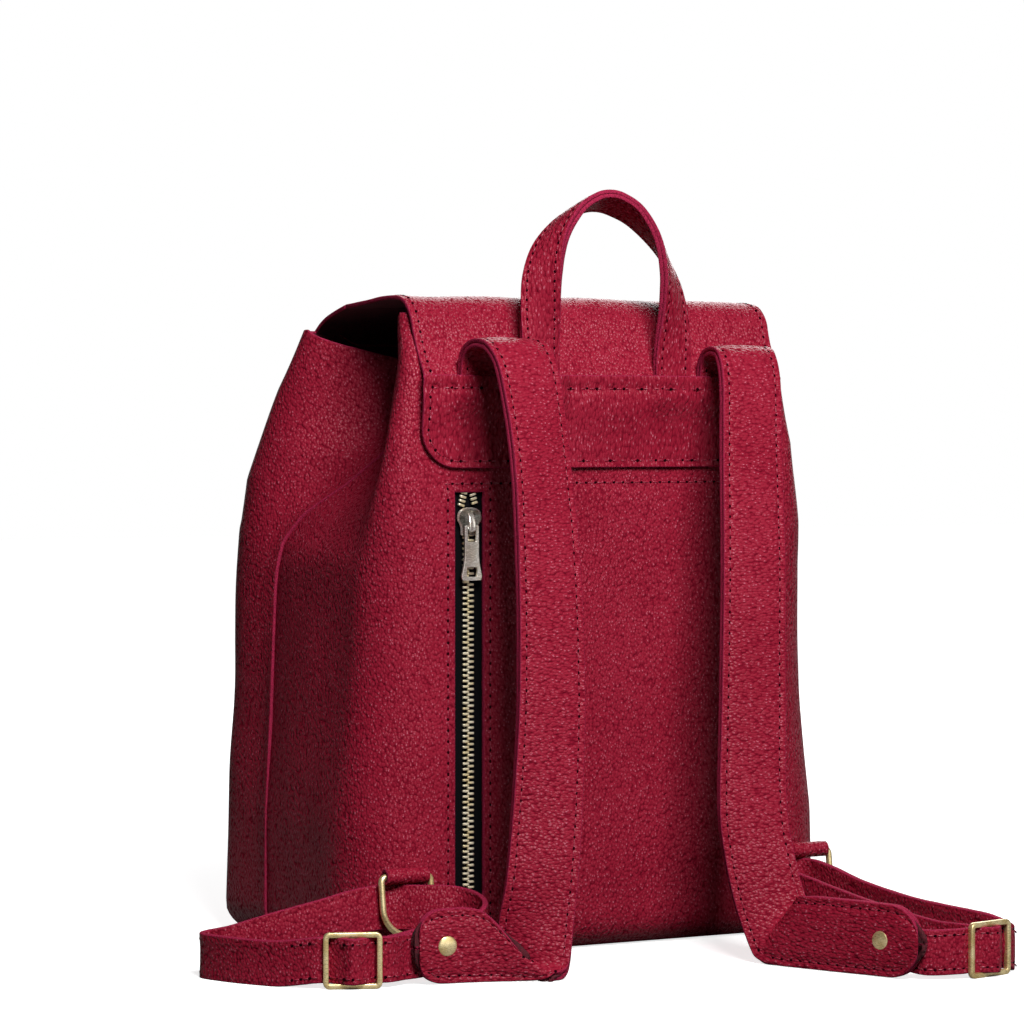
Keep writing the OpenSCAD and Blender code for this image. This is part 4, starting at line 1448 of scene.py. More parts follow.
@dataclass
class Handle(Leatherwork):
    """The top handle: an arched two-layer band, stitched near both edges."""

    width: float = 18.0
    thickness: float = 4.0
    leg: tuple = (
        (behind(35.5, 3.0, 266.6), (1, 0, 0)), (behind(35.5, 3.0, 275.9), (1, 0, 0)),
        (behind(35.9, 3.2, 288), (0.99, -0.14, 0)), (behind(35.7, 4.2, 302), (0.9, -0.43, -0.04)),
        (behind(34.0, 5, 316), (0.72, -0.68, -0.12)), (behind(28.5, 5, 330), (0.46, -0.85, -0.24)),
        (behind(18, 4.2, 342), (0.2, -0.93, -0.3)), (behind(8, 3.6, 347.5), (0.06, -0.94, -0.33)),
    )
    arch: tuple = (behind(0, 3.4, 349), (0, -0.94, -0.33))

    def build(self) -> None:
        """Makes both layers and their stitches."""
        route = smooth_route([*self.leg, self.arch, *mirrored(self.leg[::-1])], 7)
        route[:, 1] *= self.width / 2
        high = ease((route[:, 0, 2] - 290) / 50)
        route[:, 0, 0] += 2.0 + 2.5 * high
        route[:, 0, 2] += 2.0 * high
        half = self.thickness / 2
        band = Band(route, crown=0.35, seam=0.72, dent=0.3, wobble=0.2)
        face = band.layer("handle_outer", 0.05, half, 1, self.palette.pulled)
        inner = band.layer("handle_inner", -half, -0.05, -1, self.palette.pulled)
        for side in (1, -1):
            for points, up in band.stitch_rows(half, side):
                self.sewing.row(points, up)
        stitches = self.sewing.sew("handle_stitches", pitch=4.4)
        HANDLE_FOLD.finish(face, "handle_face", "handle_roots")
        HANDLE_FOLD.finish(inner, "handle_lining")
        HANDLE_FOLD.finish(stitches)


def across(place: tuple, way: tuple) -> Station:
    """Shoulder-strap station from its middle and the direction of its width."""
    return behind(*place), (16.0 * way[0], 16.0 * way[1], 0.0)


def edges(first: tuple, second: tuple) -> Station:
    """Strap station from the two edges of the band."""
    a, b = behind(*first), behind(*second)
    return tuple((p + q) / 2 for p, q in zip(a, b)), tuple((p - q) / 2 for p, q in zip(a, b))


@dataclass
class ShoulderStrap(Leatherwork):
    """A two-layer shoulder strap that hangs free and turns into a loop at the floor."""

    side: Side
    thickness: float = 4.4

    # Hanging part: the middle and the direction of the width, as (x, y).
    HANGS = {
        Side.LEFT: (
            ((64, 3.4, 265), (1, 0)), ((64, 4.6, 276), (1, 0)), ((64, 10, 281.6), (1, 0)),
            ((63.8, 20, 283.6), (1, 0)), ((63.5, 30, 280), (0.99, 0.06)),
            ((62.5, 37.5, 267), (0.99, 0.14)), ((61.6, 46.5, 230), (0.98, 0.19)),
            ((62.2, 55, 180), (0.995, 0.06)), ((63.6, 60, 124), (0.997, -0.05)),
            ((66.5, 62, 80), (0.98, -0.17)),
        ),
        Side.RIGHT: (
            ((-64, 3.4, 265), (1, 0)), ((-64, 4.6, 275), (1, 0)), ((-63.4, 9.6, 280), (1, 0)),
            ((-62, 18, 281.4), (1, 0.04)), ((-60, 26.5, 278), (0.99, 0.06)),
            ((-57.5, 34, 265), (0.99, 0.04)), ((-52.5, 43, 230), (0.99, 0)),
            ((-48, 52, 180), (0.99, -0.05)), ((-44, 58, 124), (0.98, -0.12)),
        ),
    }
    # Lying part: the band's two edges. The last pair is where the tip begins.
    LIES = {
        Side.LEFT: (
            ((85.7, 59.5, 45), (55, 68.5, 45)), ((87.5, 56, 26), (57.6, 69.5, 26)),
            ((86.4, 55, 15), (59.6, 71.2, 14)), ((81, 57, 6.4), (62, 73, 6)),
            ((76, 64.6, 3.4), (66, 75.4, 3)), ((79, 70.8, 6.6), (71, 76, 2.4)),
            ((85, 69.6, 14), (77.4, 72.6, 1.2)), ((92, 66.6, 23), (85.4, 68, 0.8)),
            ((100, 62.8, 31), (94.4, 64, 0.6)), ((109, 60.2, 33), (106, 60.6, 0.6)),
        ),
        Side.RIGHT: (
            ((-24, 61.4, 72), (-56, 67, 72)), ((-26, 63.7, 47), (-57, 73, 47)),
            ((-29.5, 66, 28), (-59, 77.4, 32)), ((-33.4, 69.4, 13), (-59, 80.4, 29.4)),
            ((-36.6, 72.8, 4), (-55.4, 84, 29.2)), ((-38.4, 77, 1.2), (-50.6, 88.4, 30.6)),
            ((-41, 83.6, 0.7), (-49, 95, 32.2)), ((-46, 94, 0.6), (-51.6, 103.4, 32.8)),
            ((-52, 107, 0.6), (-55.6, 113, 32.8)), ((-59, 122, 0.6), (-60.2, 124, 32.8)),
        ),
    }
    TIPS = {
        Side.LEFT: ((118.6, 59.4, 32.8), (118.4, 59.4, 0.8)),
        Side.RIGHT: ((-65.8, 139, 0.8), (-66, 139, 32.6)),
    }
    TIP_SHAPES = {Side.LEFT: (0.6, 0.7), Side.RIGHT: (1.0, 1.0)}
    TIP_TURNS = (0, 7, 14, 21, 28, 35, 42, 49, 56, 63, 70, 77, 83, 87, 89.6)

    def route(self) -> Array:
        """The strap's stations, closed by a half round tip."""
        stations = [across(*row) for row in self.HANGS[self.side]]
        stations += [edges(*row) for row in self.LIES[self.side]]
        before = np.array(stations[-1])
        tip_c, tip_u = (np.array(v) for v in edges(*self.TIPS[self.side]))
        body = smooth_route(stations, 8)
        step = tip_c - before[0]
        joined = [
            np.array([before[0] + step * t, before[1] * (1 - t) + tip_u * t]) for t in (0.25, 0.5, 0.75)
        ]
        forward = unit(step)
        power, share = self.TIP_SHAPES[self.side]
        reach = np.linalg.norm(tip_u) * share
        tip = [
            np.array([tip_c + forward * reach * sin(a), tip_u * cos(a) ** power])
            for a in np.radians(self.TIP_TURNS)
        ]
        return np.concatenate([body, joined, tip])

    def build(self) -> None:
        """Makes both layers, and the stitches round the strap on both faces."""
        band = Band(self.route(), crown=0.5, dent=0.5, seam=0.82, wobble=0.32)
        half = self.thickness / 2
        name = f"shoulder_strap_{self.side.word}"
        face = band.layer(f"{name}_outer", -half, -0.05, -1, self.palette.bent)
        lining = band.layer(f"{name}_inner", 0.05, half, 1, self.palette.bent)
        finish_piece(face, "bag", "leather", f"{name}_face")
        finish_piece(lining, "bag", "leather", f"{name}_lining")
        for turn in (-1, 1):
            self.sewing.row(*self.seam_line(band, half, turn))
        finish_piece(self.sewing.sew(f"{name}_stitches", pitch=4.9), "bag", "leather")

    def seam_line(self, band: Band, half: float, side: float) -> tuple[Array, Array]:
        """One line of stitches down one edge, round the tip and back up.

        Args:
            band: the strap's band.
            half: half its thickness.
            side: the face, 1 or -1.

        Returns:
            Points, and the normal at each.
        """
        centre, width = band.route[:, 0], band.route[:, 1]
        normal = band.normals() * side
        rows = band.face(np.array([band.seam, -band.seam]), side * half, side)
        tip = len(centre) - len(self.TIP_TURNS)
        inner = np.linalg.norm(width[tip]) * band.seam
        way = unit(width[tip])
        forward = unit(centre[-1] - centre[tip])
        middle = (rows[tip, 0] + rows[tip, 1]) / 2
        power, share = self.TIP_SHAPES[self.side]
        arc = [
            middle
            + forward * (inner * share * sin(a))
            + way * (inner * copysign(abs(cos(a)) ** power, cos(a)))
            for a in np.radians(np.linspace(0, 180, 25))
        ]
        points = np.concatenate([rows[:tip, 0], arc, rows[:tip, 1][::-1]])
        ups = np.concatenate([normal[:tip], np.tile(normal[tip], (25, 1)), normal[:tip][::-1]])
        return points, ups


# ---- lower straps and their brass ----


def upright(place: tuple, lean: float = 0.0) -> Station:
    """Station of a lower strap that stands on edge, its top leaning towards the bag."""
    tip = radians(lean)
    return place, (0.0, -sin(tip) * LOWER_HALF_W, cos(tip) * LOWER_HALF_W)


@dataclass(frozen=True)
class BuckleSpot:
    """Where a buckle stands and how it is turned about the vertical.

    Attributes:
        centre: middle of the buckle.
        turn: turn about +Z in degrees.
        way: 1 if the strap runs through it along its local +X, else -1.
    """

    centre: Point
    turn: float
    way: int

    def frame(self) -> tuple[Array, Array]:
        """Local X and the direction square to the buckle's plane."""
        a = radians(self.turn)
        return np.array([cos(a), sin(a), 0.0]), np.array([-sin(a), cos(a), 0.0])


LOWER_HALF_W = 9.7
BUCKLES = {
    Side.LEFT: BuckleSpot(behind(159.2, 54, 12.5), -23.0, 1),
    Side.RIGHT: BuckleSpot(behind(-107, 156.5, 12.5), 11.5, -1),
}
BUCKLE_L = 26.0
BUCKLE_H = 25.0
BUCKLE_T = 2.6
BUCKLE_BAR = 2.5
LOOP_R = 2.65
RING_LEAN = 8.0
# Height and lean of a strap where it runs through a D-ring.
AT_RING = (41.3 - 3.7 - 0.6 - LOWER_HALF_W, RING_LEAN)
WEAVE = (-1.4, -1, -0.8, -0.4, 0, 0.4, 0.8, 1, 1.35)


def woven(spot: BuckleSpot) -> list:
    """Stations of a strap that weaves over a buckle's middle bar."""
    along, out = spot.frame()
    low = -(BUCKLE_T / 2 + 0.3 + 1.3)
    high = LOOP_R + 0.3 + 1.3
    reach = BUCKLE_L / 2 - BUCKLE_BAR / 2
    stations = []
    for s in WEAVE:
        off = high + (low - high) * float(ease(min(1.0, abs(s) / 0.8)))
        c = np.array(spot.centre) + along * spot.way * s * reach + out * off
        stations.append(upright(tuple(c)))
    return stations


@dataclass
class LowerStrap(Leatherwork):
    """A lower strap: rivet, buckle, round to the D-ring and back to the buckle's bar."""

    side: Side
    thickness: float = 2.6

    # Stations as (x, distance behind the back, height) and, where it leans, its lean.
    BEFORE = {
        Side.LEFT: ((108.5, 56.2, 14.6), (117.4, 55.4, 14), (128, 54.5, 12.8), (134, 54.2, 12.5)),
        Side.RIGHT: ((-64.6, 125.6, 14.6), (-68, 133.6, 14.4), (-71.6, 142.6, 13.4), (-77, 151.4, 12.2)),
    }
    AFTER = {
        Side.LEFT: (
            (180, 37.6, 11), (187, 29, 10), (195.5, 15, 10), (202, 0, 10), (203.4, -8, 10),
            (199.6, -11.6, 10.6), (190, -8, 12.4), (172, -3, 17.4), (150, 0.6, 22.4), (134, 2, 26, 4),
            (121.5, 1.9, *AT_RING), (112.5, 3.9, *AT_RING),
            (103.4, 10.4, *AT_RING), (95.6, 14.2, *AT_RING), (87.6, 17, 26.4, 4),
            (83.6, 24, 25), (83.4, 33, 23), (87, 41, 20.6), (95, 46, 18), (108, 48, 15.6),
            (126, 48.4, 13.4), (142, 48.6, 11), (152.6, 50, 12.5), (158.4, 52.1, 12.5),
        ),
        Side.RIGHT: (
            (-125.4, 148, 10.6), (-125.6, 143.6, 12), (-123, 132, 14.4), (-118.2, 106, 15.7),
            (-115.5, 80, 17), (-112.4, 48, 20.6), (-110, 30, 24.6), (-108.6, 18, 26.8, 4),
            (-107.8, 11, *AT_RING), (-105.4, 6.4, *AT_RING),
            (-100.6, 3.9, *AT_RING), (-94.5, 3.4, *AT_RING),
            (-88.6, 5.4, *AT_RING), (-85.2, 11, 26.8, 4), (-84.4, 22, 26), (-85.6, 42, 23.4),
            (-88.6, 72, 19), (-92.4, 100, 15.5), (-96.8, 128, 12.6), (-99.6, 141, 12.5),
            (-103.4, 150.6, 12.5), (-106.2, 154.5, 12.5),
        ),
    }

    def build(self) -> None:
        """Makes the strap, its loop round the middle bar and its stitches."""
        spot = BUCKLES[self.side]
        before, after = (
            [upright(behind(*row[:3]), *row[3:]) for row in rows[self.side]]
            for rows in (self.BEFORE, self.AFTER)
        )
        route = smooth_route([*before, *woven(spot), *after], 6)
        columns = (1, 0.94, 0.86, 0.78, 0.7, 0.5, 0.2, -0.2, -0.5, -0.7, -0.78, -0.86, -0.94, -1)
        band = Band(route, columns, crown=0.3, dent=0.2, seam=0.78, wobble=0.2)
        half = self.thickness / 2
        sewn = Hide(self.palette.hide.grain, self.palette.hide.grain, self.palette.hide.edge)
        name = f"lower_strap_{self.side.word}"
        strap = band.layer(f"{name}_band", -half, half, 1, sewn)
        finish_piece(strap, "bag", "leather", name)
        self.loop(spot, sewn)
        last = (len(before) + len(WEAVE)) * 6
        for side in (-1, 1):
            for points, up in band.stitch_rows(half, side, slice(9, last)):
                self.sewing.row(points, up)
        finish_piece(self.sewing.sew(f"{name}_stitches", pitch=4.2), "bag", "leather")

    def loop(self, spot: BuckleSpot, hide: Hide) -> None:
        """The turned-back end of the strap round the buckle's middle bar.

        Args:
            spot: where the buckle stands.
            hide: the strap's leather.
        """
        turn = np.radians(np.linspace(-208, 28, 30))
        centre = np.array(spot.centre)
        along, out = spot.frame()
        heights = np.linspace(LOWER_HALF_W, -LOWER_HALF_W, 12)
        grid = np.array(
            [[centre + LOOP_R * (along * cos(a) + out * sin(a)) + (0, 0, h) for h in heights] for a in turn]
        )
        outward = outward_sign(grid, 0, 0, grid[0, 0] - centre - (0, 0, heights[0]))
        obj = leather(f"buckle_loop_{self.side.word}", grid, 1.5, hide, outward)
        finish_piece(obj, "bag", "leather")


@dataclass
class BrassWork(Leatherwork):
    """Buckles, D-rings, rivets and the leather tabs that hold the rings."""

    ring_x: float = 108.5
    ring_z: float = 41.3
    ring_w: float = 25.0
    ring_h: float = 27.0
    wire_r: float = 1.5
    roll_r: float = 3.7
    tab_t: float = 1.0
    rivet_r: float = 4.5
    strap_t: float = 4.4

    def buckle(self, side: Side) -> None:
        """A rounded rectangular frame with a middle bar, cast in one."""
        spot = BUCKLES[side]
        along, out = spot.frame()
        centre = np.array(spot.centre)
        half = np.array([BUCKLE_L, BUCKLE_H]) / 2 - BUCKLE_BAR / 2
        path = rounded_window(0.0, 0.0, half[0], half[1], 1.7, 9)
        dense = []
        for p, q in zip(path, np.roll(path, -1, axis=0)):
            steps = np.linspace(0, 1, max(1, int(dist(p, q) / 1.6)), endpoint=False)
            dense += [p + (q - p) * t for t in steps]
        points = np.array([centre + along * u + (0, 0, v) for u, v in dense])
        frame_piece = tube(
            f"buckle_{side.word}_frame", points,
            lambda phi: rounded_box_points((BUCKLE_BAR / 2, BUCKLE_T / 2), 4.5, phi), out,
            self.palette.brass,
        )
        finish_piece(frame_piece, "bag", "brass", f"buckle_{side.word}")
        heights = np.linspace(-half[1] - 0.4, half[1] + 0.4, 24)
        line = np.array([centre + (0, 0, h) for h in heights])
        bar = rod(f"buckle_{side.word}_bar", line, np.full(24, 0.95), self.palette.brass)
        finish_piece(bar, "bag", "brass")

    def ring(self, side: Side) -> None:
        """A D-ring of round wire, whose straight bar turns in its leather roll."""
        name = side.word
        ring_d = 0.3 + self.tab_t + self.roll_r
        pivot = np.array(behind(side.value * self.ring_x, ring_d, self.ring_z))
        tip = radians(RING_LEAN)
        down = np.array([0.0, sin(tip), -cos(tip)])
        across_x = np.array([1.0, 0.0, 0.0])
        r = self.ring_w / 2
        arm = self.ring_h - r
        soft = 2.6
        flat = [(t, 0.0) for t in np.linspace(-r + soft, r - soft, 20)]
        flat += arc(r - soft, soft, soft, np.linspace(-90, 0, 7))
        flat += [(r, t) for t in np.linspace(soft, arm, 8)[1:]]
        flat += arc(0.0, arm, r, np.linspace(0, 180, 41)[1:])
        flat += [(-r, t) for t in np.linspace(arm, soft, 8)[1:]]
        flat += arc(-r + soft, soft, soft, np.linspace(180, 270, 7)[1:-1])
        points = np.array([pivot + across_x * u + down * v for u, v in flat])
        obj = tube(
            f"ring_{name}_wire", points, lambda phi: (self.wire_r * cos(phi), self.wire_r * sin(phi)),
            np.cross(across_x, down), self.palette.brass,
        )
        finish_piece(obj, f"d_ring_{name}", "brass", f"d_ring_{name}")

    def tab(self, side: Side) -> None:
        """The leather that rolls round the ring's bar and is sewn to the back."""
        name = side.word
        ring_d = 0.3 + self.tab_t + self.roll_r
        x = np.linspace(-10.4, 10.4, 26) + side.value * self.ring_x
        profile = arc(ring_d, 0.0, self.roll_r, np.linspace(168, -172, 40))
        grid = np.array(
            [np.column_stack([x, 0 * x + BACK_Y + d, 0 * x + self.ring_z + z]) for d, z in profile]
        )
        sag = 0.18 * wave(grid, 7.0, 3.0)
        grid = grid + grid_normals(grid) * sag[..., None]
        middle = len(grid) // 2
        centre = np.array([side.value * self.ring_x, BACK_Y + ring_d, self.ring_z])
        outward = outward_sign(grid, middle, 13, grid[middle, 13] - centre)
        obj = leather(f"ring_tab_{name}_roll", grid, 1.6, self.palette.hide, outward)
        finish_piece(obj, "bag", "leather", f"ring_tab_{name}")

    def rivet(self, name: str, centre: tuple, turn: float) -> None:
        """A domed rivet: a cap on each side of the leather and a post between.

        Args:
            name: the strap's side.
            centre: middle of the leather under it.
            turn: its turn about +Z in degrees.
        """
        a = radians(turn)
        out = np.array([-sin(a), cos(a), 0.0])
        front = self.strap_t / 2 + 0.1
        rear = -(self.strap_t / 2 + 0.3 + 2.6 + 0.9)
        r = self.rivet_r
        dome = [(0.0, 1.35), (r * 0.3, 1.28), (r * 0.6, 1.05), (r * 0.85, 0.7), (r * 0.97, 0.4),
                (r, 0.18), (r * 0.97, 0.0)]
        outline = [(rad, front + h) for rad, h in dome]
        outline += [(r * 0.4, front - 0.1), (r * 0.4, rear + 0.1)]
        outline += [(rad, rear - h) for rad, h in dome[::-1]]
        obj = lathe(f"rivet_{name}_caps", np.array(centre), out, outline, self.palette.brass)
        finish_piece(obj, "bag", "brass", f"rivet_{name}")

    def build(self) -> None:
        """Makes all the brass and the ring tabs."""
        for side in Side:
            self.buckle(side)
        for side in Side:
            self.ring(side)
            self.tab(side)
        self.rivet("left", behind(116.5, 59.6, 17), -5)
        self.rivet("right", behind(-64.5, 134.8, 16.5), -68)
        for name in ("snap_socket", "snap_stud"):
            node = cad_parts[name]
            node.data.materials.clear()
            node.data.materials.append(self.palette.brass)


def square_to(axis: Array) -> tuple[Array, Array]:
    """Two unit vectors square to an axis and to each other."""
    helper = np.array([0.0, 0.0, 1.0]) if abs(axis[2]) < 0.9 else np.array([1.0, 0.0, 0.0])
    first = unit(np.cross(axis, helper))
    return first, np.cross(axis, first)


def lathe(name: str, centre: Array, axis: Array, outline: list, material: Any, sides: int = 48) -> Object:
    """Solid turned about an axis from (radius, height) pairs whose ends are on the axis.

    Args:
        name: the piece's name.
        centre: where the axis begins.
        axis: the axis, a unit vector.
        outline: (radius, height) pairs.
        material: its material.
        sides: points round it.

    Returns:
        The linked object.
    """
    first, second = square_to(axis)
    inner = outline[1:-1]
    points = [centre + axis * outline[0][1]]
    for radius, height in inner:
        for k in range(sides):
            a = 2 * pi * k / sides
            points.append(centre + axis * height + radius * (first * cos(a) + second * sin(a)))
    points.append(centre + axis * outline[-1][1])
    faces: list = []
    for k in range(sides):
        n = (k + 1) % sides
        faces.append((0, 1 + k, 1 + n))
        for level in range(len(inner) - 1):
            a = 1 + level * sides
            faces.append((a + k, a + sides + k, a + sides + n, a + n))
        a = 1 + (len(inner) - 1) * sides
        faces.append((a + k, len(points) - 1, a + n))
    obj = mesh_object(name, np.array(points), faces, [material])
    face_outward(obj)
    return obj


def rod(name: str, path: Array, radii: Array, material: Any, sides: int = 24) -> Object:
    """Round rod with closed ends along a straight path.

    Args:
        name: the piece's name.
        path: points on its axis.
        radii: its radius at each.
        material: its material.
        sides: points round it.

    Returns:
        The linked object.
    """
    axis = unit(path[-1] - path[0])
    outline = [(0.0, 0.0)]
    start = path[0]
    for point, radius in zip(path, radii):
        outline.append((float(radius), float((point - start) @ axis)))
    outline.append((0.0, outline[-1][1]))
    return lathe(name, start, axis, outline, material, sides)


# ---- zip ----


@dataclass
class BackZip:
    """The upright zip of the back pocket: cloth tapes, metal teeth, slider and puller."""

    palette: Palette
    tree: NodeTree
    x: float = 73.0
    low: float = 29.0
    high: float = 216.0
    pitch: float = 2.54
    chain_w: float = 5.8
    tooth_h: float = 1.15
    tooth_t: float = 1.4
    tape_front: float = 72.7
    slider_top: float = 208.5
    slider_l: float = 12.8
    slider_w: float = 12.0
    plate_t: float = 1.2
    puller_l: float = 24.0
    puller_w: float = 10.4

    def spread(self, z: Any) -> Any:
        """How far each row stands aside: widest above the slider, closing to the top."""
        return np.where(z > self.slider_top - 1, 0.245 * (self.high + 3 - z), 0.0)

    def tape(self, side: Side) -> None:
        """One woven tape, with a raised cord along the teeth."""
        u = np.array([0.0, 0.35, 0.7, 1.1, 1.6, 2.1, 2.6, 3.4, 5.0, 7.0, 9.5, 12.5])
        rise = 0.45 * np.exp(-(((u - 1.9) / 0.8) ** 2))
        z = np.linspace(self.low - 4, self.high + 4, 70)
        near = np.clip(1 - u / 9, 0, 1)
        rows = [
            (self.x + side.value * (0.15 + u + s * near), self.tape_front + rise - 0.25, 0 * u + h)
            for h, s in zip(z, self.spread(z))
        ]
        grid = np.array([np.column_stack(row) for row in rows])
        cloth = Hide(*[self.palette.tape] * 3)
        name = side.word
        obj = leather(f"zip_cloth_{name}", grid, 0.5, cloth, facing(grid, 30))
        finish_piece(obj, "bag", "zip_tape", f"zip_tape_{name}")

    def teeth(self, side: Side) -> None:
        """One row of teeth, meshed below the slider and spread above it."""
        length = self.chain_w / 2 + 0.4
        places, turns = [], []
        shift = 0.0 if side is Side.LEFT else 0.5
        meshed = np.arange(self.low + 3 + shift * self.pitch, self.slider_top - 1, self.pitch)
        bunched = np.arange(self.slider_top + 1.1 + shift * 1.9, self.high - 0.6, 1.9)
        for z in (*meshed, *bunched):
            spread = float(self.spread(z))
            reach = length / 2 - 0.4 + spread
            places.append((self.x + side.value * reach, self.tape_front + self.tooth_t / 2, z))
            turns.append((0.0, -side.value * 0.3 * float(z > self.slider_top - 1), 0.0))
        guide = guide_mesh("teeth_guide", places, [], "turn", turns)
        name = side.word
        values = {
            "Length": length * MM, "Height": self.tooth_h * MM, "Depth": self.tooth_t * MM,
            "Metal": self.palette.tooth,
        }
        obj = bake_nodes(f"zip_row_{name}", guide, self.tree, values)
        finish_piece(obj, "bag", "zip_metal", f"zip_teeth_{name}")

    def stop(self) -> None:
        """The stop that ends the rows of teeth at the bottom."""
        place = (self.x, self.tape_front + 0.7, self.low + 0.9)
        points, faces = soft_box(place, (self.chain_w, 1.4, 1.8))
        obj = mesh_object("zip_bottom_stop_metal", points, faces, [self.palette.tooth])
        finish_piece(obj, "bag", "zip_metal", "zip_bottom_stop")

    def slider(self) -> None:
        """The slider's upper plate, wide at its shoulders, with its bridge."""
        low = self.slider_top - self.slider_l
        front = self.tape_front + self.tooth_t + 0.3 + self.plate_t
        w, h = self.slider_w, self.slider_l
        half = [
            (0.0, 0.0), (w * 0.22, -h * 0.02), (w * 0.42, -h * 0.12), (w * 0.5, -h * 0.28),
            (w * 0.5, -h * 0.46), (w * 0.42, -h * 0.58), (w * 0.36, -h * 0.75),
            (w * 0.35, -h * 0.95), (w * 0.3, -h), (0.0, -h),
        ]
        outline = smooth_closed([*half, *((-u, v) for u, v in half[-2:0:-1])], 5)
        outline[:, 1] += h
        points, faces = plate(outline, (self.x, front, low), self.plate_t, 0.4)
        obj = mesh_object("slider_plate", points, faces, [self.palette.zip_metal])
        face_outward(obj)
        finish_piece(obj, "zip_slider", "zip_metal", "zip_slider")
        obj = arched_lug("slider_bridge", (self.x, front, low + 1.2), self.palette.zip_metal)
        finish_piece(obj, "zip_slider", "zip_metal")

    def puller(self) -> None:
        """The puller: a flaring plate with a window at each end, on its pin."""
        front = self.tape_front + self.tooth_t + 0.3 + self.plate_t
        low = self.slider_top - self.slider_l
        pin = (self.x, front + 1.3, low + 1.2 + 1.2 + 0.7 + 0.15)
        length, half = self.puller_l, self.puller_w / 2
        right = [
            (2.6, 1.4), (3.3, 1.1), (3.6, 0.3), (3.6, -4.0), (3.6, -9.0), (3.7, -13.0),
            (4.1, -16.5), (4.8, -20.0), (half, -length + 2.2), (half - 0.3, -length + 0.6),
            (half - 1.4, -length),
        ]
        outline = smooth_closed([*right, *((-u, v) for u, v in right[::-1])], 4)
        eye = rounded_window(0.0, -2.65, 2.1, 3.65, 0.8)
        hole = [(2.1, -length + 6.0), (2.6, -length + 5.2), (2.6, -length + 2.6), (1.9, -length + 1.8)]
        lower = smooth_closed([*hole, *((-u, v) for u, v in hole[::-1])], 3)
        obj = pierced_plate("puller_plate", outline, [eye, lower], pin, 1.5, self.palette.zip_metal)
        finish_piece(obj, "zip_puller", "zip_metal", "zip_puller")
        ends = np.array([(self.x + u, *pin[1:]) for u in (-3.4, 3.4)])
        axis = rod("puller_pin", ends, np.array([0.7, 0.7]), self.palette.zip_metal, 18)
        finish_piece(axis, "zip_puller", "zip_metal")

    def pocket(self) -> None:
        """The pocket's black cloth behind the zip."""
        x = np.linspace(-72.2, 85.8, 40)
        z = np.linspace(17, 220, 50)
        grid = np.array([np.column_stack([x, 0 * x + 71.7, 0 * x + h]) for h in z])
        grid[..., 1] += 0.25 * wave(grid, 30, 2.0) - 0.3
        cloth = Hide(*[self.palette.pocket] * 3)
        obj = leather("pocket_cloth", grid, 0.8, cloth, facing(grid, 20))
        finish_piece(obj, "bag", "pocket_cloth", "pocket_lining")

    def build(self) -> None:
        """Makes the whole zip."""
        self.pocket()
        for side in (Side.RIGHT, Side.LEFT):
            self.tape(side)
            self.teeth(side)
        self.stop()
        self.slider()
        self.puller()


def arched_lug(name: str, foot: tuple, material: Any) -> Object:
    """The slider's bridge: a rounded strip that arches from its foot up the plate.

    Args:
        name: the piece's name.
        foot: place of its lower end on the plate.
        material: its metal.

    Returns:
        The linked object.
    """
    middle = smooth_route(
        [(0.6, -0.4), (0.6, 1.2), (1.2, 2.2), (2.6, 2.5), (5.0, 2.2), (6.8, 1.5), (8.2, 0.6),
         (8.5, -0.4)],
        5,
    )
    tangent = unit(np.gradient(middle, axis=0))
    normal = np.column_stack([-tangent[:, 1], tangent[:, 0]])
    share = np.linspace(0, 1, len(middle))
    half_w = 1.45 + 0.35 * np.sin(np.pi * share)
    rows = []
    for k in range(20):
        c, s = rounded_box_points((1.0, 1.0), 2.3, 2 * pi * k / 20)
        spot = middle + normal * (0.6 * s)
        rows.append(np.column_stack([foot[0] + half_w * c, foot[1] + spot[:, 1], foot[2] + spot[:, 0]]))
    grid = np.stack(rows, axis=1)
    count, sides = grid.shape[:2]
    faces = hoop_faces(count, sides)
    faces.append(tuple(range(sides)))
    faces.append(tuple((count - 1) * sides + k for k in reversed(range(sides))))
    obj = mesh_object(name, grid.reshape(-1, 3), faces, [material])
    face_outward(obj)
    return obj


def soft_box(centre: tuple, size: tuple) -> tuple[Array, list]:
    """Points and faces of a box with softened corners."""
    levels = ((-1.0, 0.82), (-0.82, 1.0), (0.82, 1.0), (1.0, 0.82))
    ring = [(1, -0.8), (1, 0.8), (0.8, 1), (-0.8, 1), (-1, 0.8), (-1, -0.8), (-0.8, -1), (0.8, -1)]
    points = [
        (centre[0] + a * s * size[0] / 2, centre[1] + h * size[1] / 2, centre[2] + b * s * size[2] / 2)
        for h, s in levels
        for a, b in ring
    ]
    last = len(points) - len(ring)
    faces = [
        *turned_hoops(len(levels), len(ring)), tuple(range(len(ring))),
        tuple(last + k for k in reversed(range(len(ring)))),
    ]
    return np.array(points), faces


def smooth_closed(outline: Sequence[tuple[float, float]], steps: int) -> Array:
    """Closed Catmull-Rom outline through points, the first not repeated."""
    wrapped = [outline[-1], *outline, outline[0], outline[1]]
    dense = smooth_route(wrapped, steps)
    return dense[steps : steps * (len(outline) + 1)]


def rounded_window(x: float, z: float, half_w: float, half_h: float, r: float, steps: int = 5) -> Array:
    """Outline of a rectangle with rounded corners.

    Args:
        x: its middle's x.
        z: its middle's z.
        half_w: half its width.
        half_h: half its height.
        r: radius of its corners.
        steps: points on each corner.

    Returns:
        Points, anticlockwise from the right.
    """
    points = []
    for k, (sx, sz) in enumerate(((1, 1), (-1, 1), (-1, -1), (1, -1))):
        right, up = sx * (half_w - r), sz * (half_h - r)
        points += arc(x + right, z + up, r, np.linspace(0, 90, steps) + 90 * k)
    return np.array(points)


